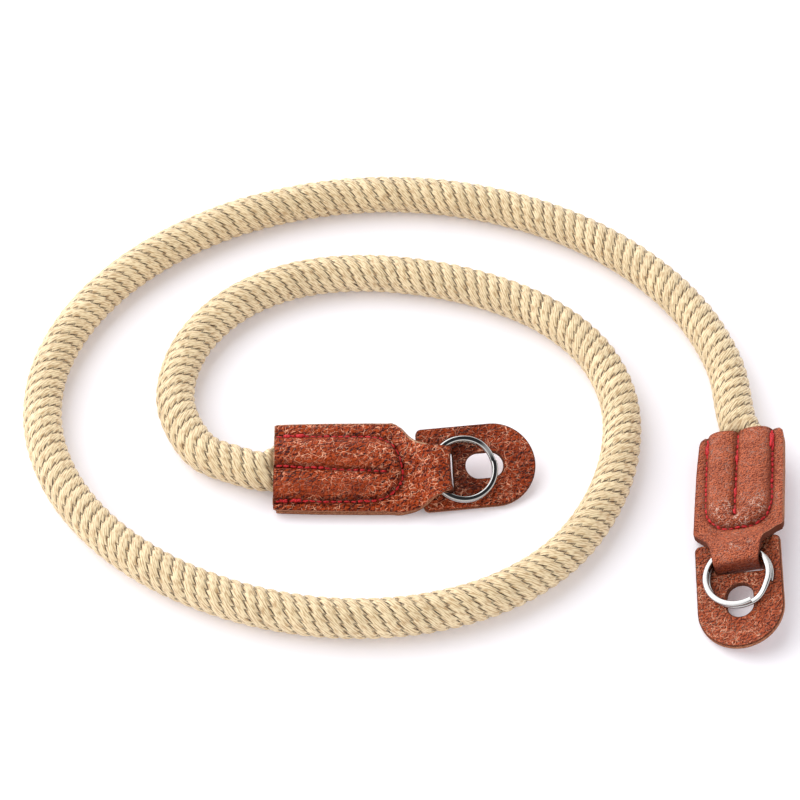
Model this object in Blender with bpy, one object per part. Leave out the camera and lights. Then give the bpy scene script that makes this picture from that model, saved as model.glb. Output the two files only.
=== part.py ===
"""Camera neck strap: a thick soft rope with a stitched leather fitting at each end.

Each end of the rope is flattened and sewn into a folded leather cover. The cover's
narrow neck passes through the slit of a lug protector and back on itself, and it
holds a two-turn split ring that lies on the protector. The strap lies on a flat
surface at z = 0, as it was put down: the rope in an open spiral of two turns, and
each fitting rolled a little on to one side, on its lobe and its edge.

Sizes are in millimetres and angles in degrees, and a mesh is made in metres.
"""

from math import cos, radians, sin, sqrt

import bmesh
import bpy
from mathutils import Matrix, Vector
from mathutils.geometry import interpolate_bezier

MM = 0.001
GAP = 0.3                # clearance between pieces that touch on the real strap

# --- Rope ---------------------------------------------------------------------
ROPE_DIAMETER = 10.0
ROPE_REACH = 6.0         # the rope is round up to this far from a cover's mouth
ROPE_LEAD = 3.0          # its last stretch, which points straight at the cover
ROUTE_STEP = 2.0         # spacing of the tube's points, in rope diameters

# Route of the round rope's centre line, seen from above, from end b to end a.
ROUTE = (
    (53.5, 37.6), (51.8, 56.1), (45.5, 73.1), (35.2, 88.0), (21.9, 100.3),
    (6.3, 109.7), (-10.8, 115.9), (-28.8, 119.0), (-47.0, 118.7), (-64.8, 115.1),
    (-81.7, 108.4), (-96.9, 98.5), (-110.0, 85.7), (-119.8, 70.3), (-125.2, 53.1),
    (-125.1, 35.2), (-119.4, 17.9), (-109.0, 2.8), (-95.2, -9.2), (-79.3, -17.9),
    (-62.1, -23.4), (-44.2, -25.4), (-25.9, -23.6), (-8.5, -17.5), (6.0, -7.0),
    (16.3, 7.5), (22.5, 24.9), (23.5, 43.3), (17.9, 60.2), (6.3, 73.5),
    (-9.4, 82.5), (-27.3, 87.8), (-45.6, 89.4), (-63.1, 86.2), (-78.3, 77.0),
    (-88.7, 62.0), (-91.5, 43.8), (-84.7, 28.1), (-71.3, 21.3),
)

# How the rope's end flattens into its two lobes on its way into the cover:
# distance from the mouth, half width, half height, share of lobes in its section.
ROPE_END = (
    (-5.7, 5.0, 5.0, 0.0), (-4.2, 5.1, 4.9, 0.0), (-2.6, 5.5, 4.4, 0.1),
    (-1.3, 5.8, 3.5, 0.5), (-0.3, 6.2, 2.4, 1.0), (4.0, 7.6, 2.55, 1.0),
)

# --- Leather cover ------------------------------------------------------------
LEATHER = 1.3            # thickness of one layer
LOBE_WIDTH = 8.0         # of the hollow, from the centre seam to the outer seam
LOBE_HEIGHT = 2.55       # half the height of the hollow in a lobe
LOBE_START = 23.0        # the lobes' straight sides end here, measured from the mouth
LOBE_END = 32.0          # and their rounded end closes here
LOBE_WALL = 0.6          # how much wider the leather over the lobes is
LOBE_STATIONS = (26.0, 28.6, 30.4, 31.5)
TURN_START = 29.5        # the cover starts to turn towards the protector here

# Half of a lobe pair's section: share of the lobe's width, share of its height.
LOBE_SECTION = (
    (0.00, 0.30), (0.12, 0.45), (0.25, 0.78), (0.42, 0.98),
    (0.62, 0.97), (0.78, 0.80), (0.91, 0.48), (1.00, 0.00),
)

# Outline of the cover: distance from the mouth, half width.
COVER_OUTLINE = (
    (0.0, 11.1), (1.5, 11.4), (12.0, 11.8), (23.0, 11.9), (26.0, 11.9),
    (28.6, 11.9), (30.4, 11.9), (31.6, 11.5), (32.5, 11.0), (34.0, 10.0),
    (36.4, 8.5), (38.6, 7.1), (40.6, 6.4), (43.0, 6.0), (45.4, 5.6),
)

# Side view of the neck: distance from the mouth, top face, bottom face.
NECK_PROFILE = (
    (0.0, 1.3, -1.3), (33.0, 1.3, -1.3), (35.6, 1.6, -1.5), (36.6, 2.3, -1.8),
    (37.4, 3.2, -2.2), (38.6, 4.5, -2.35), (39.4, 4.85, -2.35), (43.8, 4.85, -2.35),
    (44.7, 4.4, -2.1), (45.2, 3.4, -1.5), (45.4, 2.0, -0.7),
)

# The hollow in the neck, for the protector's bridge and the ring above it:
# distance from the mouth, ceiling.
NECK_HOLLOW = (
    (36.6, 1.05), (37.4, 1.6), (38.7, 3.3), (39.1, 3.55), (43.5, 3.55), (44.1, 2.9),
)
NECK_HOLLOW_WIDTH = 13.0     # half of it, past the cover's edges

# --- Lug protector ------------------------------------------------------------
PROTECTOR_START = 36.9   # its straight end, measured from the cover's mouth
PROTECTOR_LENGTH = 29.7
PROTECTOR_WIDTH = 21.6
PROTECTOR_THICKNESS = 1.5
PROTECTOR_CORNER = 1.5
SLIT_START = 6.9
SLIT_END = 8.9
SLIT_LENGTH = 14.4
SLIT_CORNER = 0.6
HOLE_START = 11.8
HOLE_LENGTH = 9.7
HOLE_WIDTH = 6.7
HOLE_CORNER = 3.3

# --- Split ring ---------------------------------------------------------------
RING_DIAMETER = 17.3
RING_CENTRE = 11.05      # measured from the protector's straight end
WIRE_WIDTH = 1.5
WIRE_HEIGHT = 1.02
WIRE_CORNER = 0.3
TURN_GAP = 0.08          # between the ring's two turns
CROSSING = 45.0          # the angle in which the wire climbs from one turn to the other
END_GAP = 2.0            # the angle between a wire end and the crossing
RING_STEP = 9.0          # the angle between two sections of the wire

# --- How each end lies --------------------------------------------------------
# A pose is a place, a heading (0 is +X, 90 is +Y), a dip (nose down) and a roll
# (left side up). The cover's is that of its mouth, the protector's that of its
# straight end. The neck slides sideways in the slit, and wire_end is where the
# split ring's upper turn ends, counted from the nose towards the left.
ENDS = {
    "a": {
        "cover": {"place": (-65.3, 21.1, 5.34), "heading": 0.0, "dip": 0.0, "roll": 18.9},
        "protector": {"place": (-28.35, 19.8, 5.85), "heading": 8.0, "dip": 1.5, "roll": 25.5},
        "slide": -0.9,
        "wire_end": 11.0,
    },
    "b": {
        "cover": {"place": (54.3, 31.6, 5.4), "heading": -95.5, "dip": 0.0, "roll": 19.6},
        "protector": {"place": (50.25, -3.3, 6.8), "heading": -91.1, "dip": 6.5, "roll": 20.4},
        "slide": 0.0,
        "wire_end": 25.0,
    },
}

# --- Finishes: red, green, blue, then roughness and metallic --------------------
FINISHES = {
    "rope": ((0.72, 0.53, 0.32), 0.85, 0.0),
    "leather": ((0.30, 0.075, 0.035), 0.45, 0.0),
    "steel": ((0.62, 0.62, 0.60), 0.22, 1.0),
}


def clear_scene():
    """Remove whatever the file holds."""
    for old in list(bpy.data.objects):
        bpy.data.objects.remove(old, do_unlink=True)


def make_materials():
    """One Principled material for each finish."""
    materials = {}
    for name, (colour, roughness, metallic) in FINISHES.items():
        material = bpy.data.materials.new(name)
        material.use_nodes = True
        shader = material.node_tree.nodes["Principled BSDF"]
        shader.inputs["Base Color"].default_value = (*colour, 1.0)
        shader.inputs["Roughness"].default_value = roughness
        shader.inputs["Metallic"].default_value = metallic
        materials[name] = material
    return materials


# --- Places -------------------------------------------------------------------

def pose_matrix(pose):
    """The matrix of a pose, in millimetres."""
    return (
        Matrix.Translation(Vector(pose["place"]))
        @ Matrix.Rotation(radians(pose["heading"]), 4, "Z")
        @ Matrix.Rotation(radians(pose["dip"]), 4, "Y")
        @ Matrix.Rotation(radians(pose["roll"]), 4, "X")
    )


def in_metres(matrix):
    """The same place and turn, with the place in metres."""
    return Matrix.Translation(matrix.translation * MM) @ matrix.to_quaternion().to_matrix().to_4x4()


def ease(value, start, end):
    """0 before start, 1 after end, and smooth in between."""
    share = min(max((value - start) / (end - start), 0.0), 1.0)
    return share * share * (3.0 - 2.0 * share)


def blend(first, second, share):
    """A matrix between two others."""
    place = first.translation.lerp(second.translation, share)
    turn = first.to_quaternion().slerp(second.to_quaternion(), share)
    return Matrix.Translation(place) @ turn.to_matrix().to_4x4()


def read_table(table, at, column=1):
    """Read a column of a table, with straight lines between its rows."""
    if at <= table[0][0]:
        return table[0][column]
    for low, high in zip(table, table[1:]):
        if at <= high[0]:
            share = (at - low[0]) / (high[0] - low[0])
            return low[column] + share * (high[column] - low[column])
    return table[-1][column]


def rope_end_matrix(end):
    """Where the round rope ends, pointing into the cover."""
    last, before = (ROUTE[-1], ROUTE[-2]) if end == "a" else (ROUTE[0], ROUTE[1])
    mouth = ENDS[end]["cover"]["place"]
    towards = Vector((mouth[0] - before[0], mouth[1] - before[1], 0.0))
    place = Vector((last[0], last[1], ROPE_DIAMETER / 2.0))
    return Matrix.Translation(place) @ towards.to_track_quat("X", "Z").to_matrix().to_4x4()


def station(end, along):
    """The section plane of a fitting at a distance from its cover's mouth.

    It follows the rope before the mouth, the cover up to its shoulders and the
    protector from its straight end on, and it turns smoothly from one to the next.
    """
    cover = pose_matrix(ENDS[end]["cover"]) @ Matrix.Translation((along, 0.0, 0.0))
    if along < 0.0:
        rope = rope_end_matrix(end) @ Matrix.Translation((along + ROPE_REACH, 0.0, 0.0))
        return blend(rope, cover, ease(along, -ROPE_REACH, 0.0))
    protector = pose_matrix(ENDS[end]["protector"])
    protector = protector @ Matrix.Translation((along - PROTECTOR_START, 0.0, 0.0))
    return blend(cover, protector, ease(along, TURN_START, PROTECTOR_START))


# --- Shapes -------------------------------------------------------------------

def loft(name, rings):
    """A closed mesh through rings of points in metres, with a cap at each end."""
    bm = bmesh.new()
    rows = [[bm.verts.new(point) for point in ring] for ring in rings]
    for row, following in zip(rows, rows[1:]):
        for i in range(len(row)):
            j = (i + 1) % len(row)
            bm.faces.new((row[i], row[j], following[j], following[i]))
    bm.faces.new(rows[0])
    bm.faces.new(rows[-1])
    bmesh.ops.triangulate(bm, faces=bm.faces[:])
    bmesh.ops.recalc_face_normals(bm, faces=bm.faces[:])
    mesh = bpy.data.meshes.new(name)
    bm.to_mesh(mesh)
    bm.free()
    return mesh


def place_object(name, mesh, matrix, material, parent):
    """An object at a place in metres, held by its end's empty."""
    thing = bpy.data.objects.new(name, mesh)
    bpy.context.collection.objects.link(thing)
    if material:
        mesh.materials.append(material)
    if parent:
        thing.parent = parent
        thing.matrix_parent_inverse = parent.matrix_basis.inverted()
    thing.matrix_basis = matrix
    return thing


def cut(thing, cutter):
    """Cut one object's shape out of another."""
    cutter.hide_render = True
    cutter.display_type = "WIRE"
    modifier = thing.modifiers.new(cutter.name, "BOOLEAN")
    modifier.operation = "DIFFERENCE"
    modifier.object = cutter


def lofted(name, end, sections, material, parent, slide=0.0):
    """An object through sections (distance from the mouth, its y and z points)."""
    home = pose_matrix(ENDS[end]["cover"])
    back = home.inverted()
    rings = []
    for along, points in sections:
        plane = back @ station(end, along)
        shift = slide * ease(along, TURN_START, PROTECTOR_START)
        rings.append([(plane @ Vector((0.0, y + shift, z))) * MM for y, z in points])
    return place_object(name, loft(name, rings), in_metres(home), material, parent)


def lobe_size(along, wall):
    """Half width and height of the lobes at a distance from the mouth, and a wall more."""
    share = max(along - LOBE_START, 0.0) / (LOBE_END + wall - LOBE_START)
    left = sqrt(max(1.0 - share * share, 0.0))
    return (LOBE_WIDTH + wall) * left, LOBE_HEIGHT * left


def mirrored(half):
    """A top line from the left edge to the right one, from its right half."""
    return [(y, z) for y, z in reversed(half)] + [(-y, z) for y, z in half[1:]]


def rope_section(half_width, half_height, lobes=1.0, inset=0.0):
    """A closed section of the rope, round or pressed into two lobes."""
    half = []
    for share, height in LOBE_SECTION[:-1]:
        rounded = sqrt(1.0 - share * share)
        mixed = (1.0 - lobes) * rounded + lobes * height
        half.append((half_width * share, half_height * mixed - inset))
    top = mirrored(half)
    bottom = [(y, -z) for y, z in reversed(top)]
    return [(half_width, 0.0)] + top + [(-half_width, 0.0)] + bottom


def cover_section(along):
    """A closed section of the cover's outside."""
    edge = read_table(COVER_OUTLINE, along)
    top = read_table(NECK_PROFILE, along, 1)
    bottom = read_table(NECK_PROFILE, along, 2)
    half_width, height = lobe_size(along, LOBE_WALL)
    half_width = max(half_width, LEATHER)
    over = [(half_width * share, top + height * rise) for share, rise in LOBE_SECTION]
    under = [(half_width * share, bottom - height * rise) for share, rise in LOBE_SECTION]
    over.append((edge, top))
    under.append((edge, bottom))
    return mirrored(over) + list(reversed(mirrored(under)))


# --- Pieces -------------------------------------------------------------------

def make_cover(end, material, parent):
    """The folded leather cover, hollow at its lobes and open through its neck."""
    rows = {along for along, _ in COVER_OUTLINE} | {row[0] for row in NECK_PROFILE}
    cover = lofted(
        "leather_cover_" + end, end,
        [(along, cover_section(along)) for along in sorted(rows)],
        material, parent, ENDS[end]["slide"],
    )
    lobes = [(-1.0, rope_section(*lobe_size(0.0, 0.0)))]
    for along in (4.0, LOBE_START) + LOBE_STATIONS:
        lobes.append((along, rope_section(*lobe_size(along, 0.0))))
    cut(cover, lofted("lobe_hollow_" + end, end, lobes, None, parent))

    floor = -PROTECTOR_THICKNESS / 2.0 - GAP
    side = NECK_HOLLOW_WIDTH
    neck = [
        (along, [(side, ceiling), (-side, ceiling), (-side, floor), (side, floor)])
        for along, ceiling in NECK_HOLLOW
    ]
    cut(cover, lofted("neck_hollow_" + end, end, neck, None, parent))
    return cover


def make_rope_end(end, material, parent):
    """The rope's last stretch, which flattens into the cover's two lobes."""
    sections = [
        (along, rope_section(width, height, lobes, GAP * lobes))
        for along, width, height, lobes in ROPE_END
    ]
    for along in (LOBE_START,) + LOBE_STATIONS[:-1]:
        width, height = lobe_size(along, -2.0 * GAP)
        sections.append((along, rope_section(width, height, 1.0, GAP)))
    return lofted("sewn_rope_end_" + end, end, sections, material, parent)


def rounded_outline(start, length, width, corner, nose, steps=6):
    """Corner points of a flat shape along X: two corners, then two nose corners."""
    points = []
    end = start + length
    half = width / 2.0
    for centre_x, centre_y, radius, turn in (
        (end - nose, half - nose, nose, 0.0),
        (start + corner, half - corner, corner, 90.0),
        (start + corner, corner - half, corner, 180.0),
        (end - nose, nose - half, nose, 270.0),
    ):
        for i in range(steps + 1):
            angle = radians(turn + 90.0 * i / steps)
            point = (centre_x + radius * cos(angle), centre_y + radius * sin(angle))
            if not points or (Vector(point) - Vector(points[-1])).length > GAP / 10.0:
                points.append(point)
    if (Vector(points[0]) - Vector(points[-1])).length < GAP / 10.0:
        points.pop()
    return points


def flat_mesh(name, outline, thickness):
    """A plate of an outline, as thick as stated, centred on z = 0."""
    rings = [[(x * MM, y * MM, z * MM) for x, y in outline] for z in (-thickness / 2, thickness / 2)]
    return loft(name, rings)


def make_protector(end, material, parent):
    """The lug protector: a leather plate with a slit for the neck and a hole for the lug."""
    home = in_metres(pose_matrix(ENDS[end]["protector"]))
    outline = rounded_outline(
        0.0, PROTECTOR_LENGTH, PROTECTOR_WIDTH, PROTECTOR_CORNER, PROTECTOR_WIDTH / 2.0, 8)
    mesh = flat_mesh("lug_protector_" + end, outline, PROTECTOR_THICKNESS)
    plate = place_object("lug_protector_" + end, mesh, home, material, parent)
    slit = rounded_outline(SLIT_START, SLIT_END - SLIT_START, SLIT_LENGTH, SLIT_CORNER, SLIT_CORNER, 2)
    hole = rounded_outline(HOLE_START, HOLE_LENGTH, HOLE_WIDTH, HOLE_CORNER, HOLE_CORNER, 4)
    for name, shape in (("slit_", slit), ("lug_hole_", hole)):
        cutter = flat_mesh(name + end, shape, PROTECTOR_THICKNESS * 3.0)
        cut(plate, place_object(name + end, cutter, home, None, parent))
    return plate


def wire_section():
    """The ring wire's section, around its centre: outwards and upwards."""
    half_width = WIRE_WIDTH / 2.0
    half_height = WIRE_HEIGHT / 2.0
    side = half_height - WIRE_CORNER
    return [
        (half_width, -side), (half_width, side), (half_width - WIRE_CORNER, half_height),
        (WIRE_CORNER - half_width, half_height), (-half_width, side), (-half_width, -side),
        (WIRE_CORNER - half_width, -half_height), (half_width - WIRE_CORNER, -half_height),
    ]


def make_split_ring(end, material, parent):
    """A ring of two turns of flat wire, which climbs from the lower to the upper turn."""
    low = PROTECTOR_THICKNESS / 2.0 + GAP + WIRE_HEIGHT / 2.0
    middle = low + (WIRE_HEIGHT + TURN_GAP) / 2.0
    ring = pose_matrix(ENDS[end]["protector"])
    ring = ring @ Matrix.Translation((RING_CENTRE, ENDS[end]["slide"], middle))
    first = ENDS[end]["wire_end"] + CROSSING + END_GAP
    last = ENDS[end]["wire_end"] - END_GAP + 720.0
    climb_start = ENDS[end]["wire_end"] + 360.0
    count = round((last - first) / RING_STEP)
    radius = (RING_DIAMETER - WIRE_WIDTH) / 2.0
    rings = []
    for i in range(count + 1):
        angle = first + (last - first) * i / count
        level = (WIRE_HEIGHT + TURN_GAP) * (ease(angle, climb_start, climb_start + CROSSING) - 0.5)
        outward = Vector((cos(radians(angle)), sin(radians(angle)), 0.0))
        points = []
        for across, up in wire_section():
            points.append((outward * (radius + across) + Vector((0.0, 0.0, level + up))) * MM)
        rings.append(points)
    name = "split_ring_" + end
    return place_object(name, loft(name, rings), in_metres(ring), material, parent)


def smooth_route(points, before, after, step):
    """Points about a step apart on one smooth curve through the route's points."""
    guide = [Vector((x, y, ROPE_DIAMETER / 2.0)) for x, y, *_ in (before, *points, after)]
    fine = [guide[1]]
    for i in range(1, len(guide) - 2):
        start_handle = guide[i] + (guide[i + 1] - guide[i - 1]) / 6.0
        end_handle = guide[i + 1] - (guide[i + 2] - guide[i]) / 6.0
        fine += interpolate_bezier(guide[i], start_handle, end_handle, guide[i + 1], 25)[1:]
    reach = [0.0]
    for a, b in zip(fine, fine[1:]):
        reach.append(reach[-1] + (b - a).length)
    count = round(reach[-1] / step)
    table = [(length, *point) for length, point in zip(reach, fine)]
    targets = [reach[-1] * i / count for i in range(count + 1)]
    return [Vector([read_table(table, at, column) for column in (1, 2, 3)]) for at in targets]


def make_rope(material):
    """The round rope between the two sewn ends, lying in its spiral."""
    start, stop = (rope_end_matrix(end) for end in ("b", "a"))
    leads = [matrix @ Vector((-ROPE_LEAD, 0.0, 0.0)) for matrix in (start, stop)]
    route = smooth_route(
        (leads[0], *ROUTE[1:-1], leads[1]),
        start.translation, stop.translation, ROUTE_STEP * ROPE_DIAMETER)
    route = [start.translation, *route, stop.translation]
    curve = bpy.data.curves.new("rope", "CURVE")
    curve.dimensions = "3D"
    curve.bevel_depth = ROPE_DIAMETER / 2.0 * MM
    curve.bevel_resolution = 4
    curve.use_fill_caps = True
    curve.materials.append(material)
    spline = curve.splines.new("POLY")
    spline.points.add(len(route) - 1)
    for point, place in zip(spline.points, route):
        point.co = (*(place * MM), 1.0)
    rope = bpy.data.objects.new("rope", curve)
    bpy.context.collection.objects.link(rope)
    return rope


def main():
    clear_scene()
    materials = make_materials()
    make_rope(materials["rope"])
    for end in ENDS:
        holder = bpy.data.objects.new("end_" + end, None)
        bpy.context.collection.objects.link(holder)
        holder.matrix_basis = in_metres(pose_matrix(ENDS[end]["cover"]))
        make_rope_end(end, materials["rope"], holder)
        make_cover(end, materials["leather"], holder)
        make_protector(end, materials["leather"], holder)
        make_split_ring(end, materials["steel"], holder)


main()
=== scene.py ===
# %% [markdown]
# # A camera neck strap: braided rope, stitched leather and split rings
#
# The imported parts are plain solids of the right size and place. This lesson dresses them: it
# replaces the soft solids by modelled rope and leather, and winds the rings anew in smooth
# steel. Everything stays in the parts' own frame, so nothing is fitted afterwards. Sizes are
# given in millimetres, as a maker would measure them, and turned into metres in the meshes.

# %% The imported parts
from math import cos, pi, radians, sin, tan

import bmesh
import bpy
import numpy as np
from mathutils import Matrix, Vector
from mathutils.geometry import interpolate_bezier


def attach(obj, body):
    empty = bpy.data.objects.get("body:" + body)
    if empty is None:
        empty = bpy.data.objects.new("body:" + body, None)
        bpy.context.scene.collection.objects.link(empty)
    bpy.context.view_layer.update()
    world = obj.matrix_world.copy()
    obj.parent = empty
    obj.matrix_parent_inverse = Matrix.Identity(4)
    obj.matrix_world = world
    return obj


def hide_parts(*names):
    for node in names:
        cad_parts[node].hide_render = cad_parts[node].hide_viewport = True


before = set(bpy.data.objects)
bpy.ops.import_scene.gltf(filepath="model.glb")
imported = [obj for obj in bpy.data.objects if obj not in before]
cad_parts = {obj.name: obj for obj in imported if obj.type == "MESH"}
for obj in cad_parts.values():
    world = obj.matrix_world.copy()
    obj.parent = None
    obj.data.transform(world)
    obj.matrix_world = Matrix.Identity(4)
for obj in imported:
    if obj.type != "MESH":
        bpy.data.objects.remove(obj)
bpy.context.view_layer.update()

MM = 0.001
print("parts:", sorted(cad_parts))

# %% [markdown]
# ## The camera
#
# The strap was photographed from about 50 degrees above the table, with a long lens. A
# camera object looks down its own -Z axis, so turning it about X by 90 degrees less the
# elevation tips it down at the table, and no other turn is needed.

# %% Camera
CAMERA_PLACE = (-33.3, -419.7, 548.4)
CAMERA_ELEVATION = 49.5
CAMERA_LENS = 123.975
SENSOR_WIDTH = 36.0
NEAREST_SEEN = 10.0

lens = bpy.data.cameras.new("camera")
lens.lens = CAMERA_LENS
lens.sensor_width = SENSOR_WIDTH
lens.clip_start = NEAREST_SEEN * MM
camera = bpy.data.objects.new("camera", lens)
camera.location = Vector(CAMERA_PLACE) * MM
camera.rotation_euler = (radians(90.0 - CAMERA_ELEVATION), 0.0, 0.0)
bpy.context.scene.collection.objects.link(camera)
bpy.context.scene.camera = camera
print("camera", round(camera.location.length, 3), "m from the origin")

# %% [markdown]
# ## Mixing finishes
#
# A finish is a tree of nodes, and most of a tree is sums. This small helper keeps them
# readable: it adds a node, sets its numbers on its own sockets, and joins what is joined.
# Many marks start as noise, whose values lie mostly between 0.3 and 0.7. The two limits of
# such a map say how much of a surface is marked and how soft the marks' edges are.

# %% A helper for finishes
class Finish:
    """A material that is being mixed, with short ways to add and join its nodes."""

    def __init__(self, name):
        self.material = bpy.data.materials.new(name)
        self.material.use_nodes = True
        self.tree = self.material.node_tree
        self.shader = self.tree.nodes["Principled BSDF"]

    def feed(self, socket, value):
        """Join another node's output to a socket, or set its number or colour."""
        if isinstance(value, bpy.types.NodeSocket):
            self.tree.links.new(value, socket)
        elif socket.type == "RGBA":
            socket.default_value = (*value, 1.0)
        else:
            socket.default_value = value

    def add(self, kind, inputs=(), **settings):
        """Add a node, with its settings and its inputs by name or number."""
        node = self.tree.nodes.new("ShaderNode" + kind)
        for name, value in settings.items():
            setattr(node, name, value)
        for name, value in dict(inputs).items():
            self.feed(node.inputs[name], value)
        return node

    def math(self, operation, *values):
        """One step of arithmetic on numbers or outputs."""
        return self.add("Math", enumerate(values), operation=operation).outputs[0]

    def plus(self, first, second):
        """The sum of two numbers or outputs."""
        return self.math("ADD", first, second)

    def minus(self, first, second):
        """The first number or output less the second."""
        return self.math("SUBTRACT", first, second)

    def times(self, first, second):
        """One number or output times another."""
        return self.math("MULTIPLY", first, second)

    def map(self, value, low, high, to_low=0.0, to_high=1.0, kind="SMOOTHSTEP"):
        """Stretch a value's range onto another one, with soft ends."""
        inputs = {"Value": value, "From Min": low, "From Max": high,
                  "To Min": to_low, "To Max": to_high}
        return self.add("MapRange", inputs, interpolation_type=kind).outputs[0]

    def between(self, share, low, high):
        """An even slope from low to high, as a share goes from 0 to 1."""
        return self.map(share, 0.0, 1.0, low, high, "LINEAR")

    def noise(self, vector, scale, detail=2.0, roughness=0.5):
        """Soft random clouds, about as many to one unit of the vector as the scale says."""
        inputs = {"Vector": vector, "Scale": scale, "Detail": detail, "Roughness": roughness}
        return self.add("TexNoise", inputs).outputs["Fac"]

    def cells(self, vector, scale):
        """How far a place is from the edge of its random cell."""
        inputs = {"Vector": vector, "Scale": scale}
        return self.add("TexVoronoi", inputs, feature="DISTANCE_TO_EDGE").outputs["Distance"]

    def mix(self, share, first, second):
        """Two colours mixed by a share."""
        return self.add("Mix", {0: share, 6: first, 7: second}, data_type="RGBA").outputs[2]

    def bump(self, height, distance):
        """Raise the surface by a height map, distance metres where the height is 1."""
        return self.add("Bump", {"Height": height, "Distance": distance}).outputs["Normal"]

    def finish(self, **sockets):
        """Feed the shader's own sockets, whose names are written with underscores."""
        for name, value in sockets.items():
            self.feed(self.shader.inputs[name.replace("_", " ")], value)
        return self.material


def piece(name, mesh, body, slot, *finishes):
    """A finished piece at the origin, with its place in its mesh, riding on a body."""
    made = bpy.data.objects.new(name, mesh)
    bpy.context.scene.collection.objects.link(made)
    for finish in finishes:
        mesh.materials.append(finish)
    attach(made, body)
    print(name, len(mesh.polygons), "faces")
    return made


# %% [markdown]
# ## Where everything lies
#
# The strap was put down in a loose spiral, and each leather end rolled a little onto its
# side. These are the same sizes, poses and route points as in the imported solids. A section
# plane travels along each end: it follows the rope, then the cover, then the protector.

# %% The places of both ends
ROPE_DIAMETER = 10.0
ROPE_RADIUS = ROPE_DIAMETER / 2.0
ROPE_REACH = 6.0           # from the end of the round rope to the cover's mouth
ROPE_LEAD = 3.0            # a straight stretch before the end of the round rope
TURN_START = 29.5          # where a cover begins to turn into its protector's plane
PROTECTOR_START = 36.9     # where the protector begins, and the turn is done

# Each end: how its cover and its protector lie, how far the neck and the ring have slid to
# the side, the angle at which the ring's wire ends, and where its lower and upper turn lie.
ENDS = {
    "a": {
        "cover": {"place": (-65.3, 21.1, 5.34), "heading": 0.0, "dip": 0.0, "roll": 18.9},
        "protector": {"place": (-28.35, 19.8, 5.85), "heading": 8.0, "dip": 1.5, "roll": 25.5},
        "slide": -0.9,
        "wire_end": 11.0,
        "turns_at": ((0.0, 0.0), (0.0, 0.0)),
    },
    "b": {
        "cover": {"place": (54.3, 31.6, 5.4), "heading": -95.5, "dip": 0.0, "roll": 19.6},
        "protector": {"place": (50.25, -3.3, 6.8), "heading": -91.1, "dip": 6.5, "roll": 20.4},
        "slide": 0.0,
        "wire_end": 25.0,
        "turns_at": ((0.0, 0.35), (0.0, 0.0)),
    },
}

# The rope's centre line, seen from above, from end b to end a.
ROUTE = (
    (53.5, 37.6), (51.8, 56.1), (45.5, 73.1), (35.2, 88.0), (21.9, 100.3),
    (6.3, 109.7), (-10.8, 115.9), (-28.8, 119.0), (-47.0, 118.7), (-64.8, 115.1),
    (-81.7, 108.4), (-96.9, 98.5), (-110.0, 85.7), (-119.8, 70.3), (-125.2, 53.1),
    (-125.1, 35.2), (-119.4, 17.9), (-109.0, 2.8), (-95.2, -9.2), (-79.3, -17.9),
    (-62.1, -23.4), (-44.2, -25.4), (-25.9, -23.6), (-8.5, -17.5), (6.0, -7.0),
    (16.3, 7.5), (22.5, 24.9), (23.5, 43.3), (17.9, 60.2), (6.3, 73.5),
    (-9.4, 82.5), (-27.3, 87.8), (-45.6, 89.4), (-63.1, 86.2), (-78.3, 77.0),
    (-88.7, 62.0), (-91.5, 43.8), (-84.7, 28.1), (-71.3, 21.3),
)


def pose_matrix(pose):
    """The matrix of a pose, in millimetres."""
    return (
        Matrix.Translation(Vector(pose["place"]))
        @ Matrix.Rotation(radians(pose["heading"]), 4, "Z")
        @ Matrix.Rotation(radians(pose["dip"]), 4, "Y")
        @ Matrix.Rotation(radians(pose["roll"]), 4, "X")
    )


def ease(value, start, end):
    """0 before start, 1 after end, and smooth in between."""
    share = np.clip((value - start) / (end - start), 0.0, 1.0)
    return share * share * (3.0 - 2.0 * share)


def fade(value, start, end):
    """1 before start, 0 after end, and smooth in between."""
    return 1.0 - ease(value, start, end)


def band(value, start, full, ebb, end):
    """1 from full to ebb, 0 before start and after end, and smooth in between."""
    return ease(value, start, full) * fade(value, ebb, end)


def blend(first, second, share):
    """A matrix between two others."""
    place = first.translation.lerp(second.translation, float(share))
    turn = first.to_quaternion().slerp(second.to_quaternion(), float(share))
    return Matrix.Translation(place) @ turn.to_matrix().to_4x4()


def rope_end_matrix(end):
    """Where the round rope ends, pointing into the cover."""
    last, before = (ROUTE[-1], ROUTE[-2]) if end == "a" else (ROUTE[0], ROUTE[1])
    mouth = ENDS[end]["cover"]["place"]
    towards = Vector((mouth[0] - before[0], mouth[1] - before[1], 0.0))
    place = Vector((last[0], last[1], ROPE_RADIUS))
    return Matrix.Translation(place) @ towards.to_track_quat("X", "Z").to_matrix().to_4x4()


def station(end, along):
    """The section plane of an end at a distance from its cover's mouth."""
    cover = pose_matrix(ENDS[end]["cover"]) @ Matrix.Translation((along, 0.0, 0.0))
    if along < 0.0:
        rope = rope_end_matrix(end) @ Matrix.Translation((along + ROPE_REACH, 0.0, 0.0))
        return blend(rope, cover, ease(along, -ROPE_REACH, 0.0))
    protector = pose_matrix(ENDS[end]["protector"])
    protector = protector @ Matrix.Translation((along - PROTECTOR_START, 0.0, 0.0))
    return blend(cover, protector, ease(along, TURN_START, PROTECTOR_START))


print("mouths at", [tuple(round(c, 1) for c in station(end, 0.0).translation) for end in ENDS])

# %% [markdown]
# ## Lines and tables
#
# A maker's drawing gives a few points and leaves the curve between them to the hand. Here a
# smooth curve goes through such points, made of Bezier arcs whose handles follow the
# neighbouring points, and a table of sizes is read off between its rows.

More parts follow.
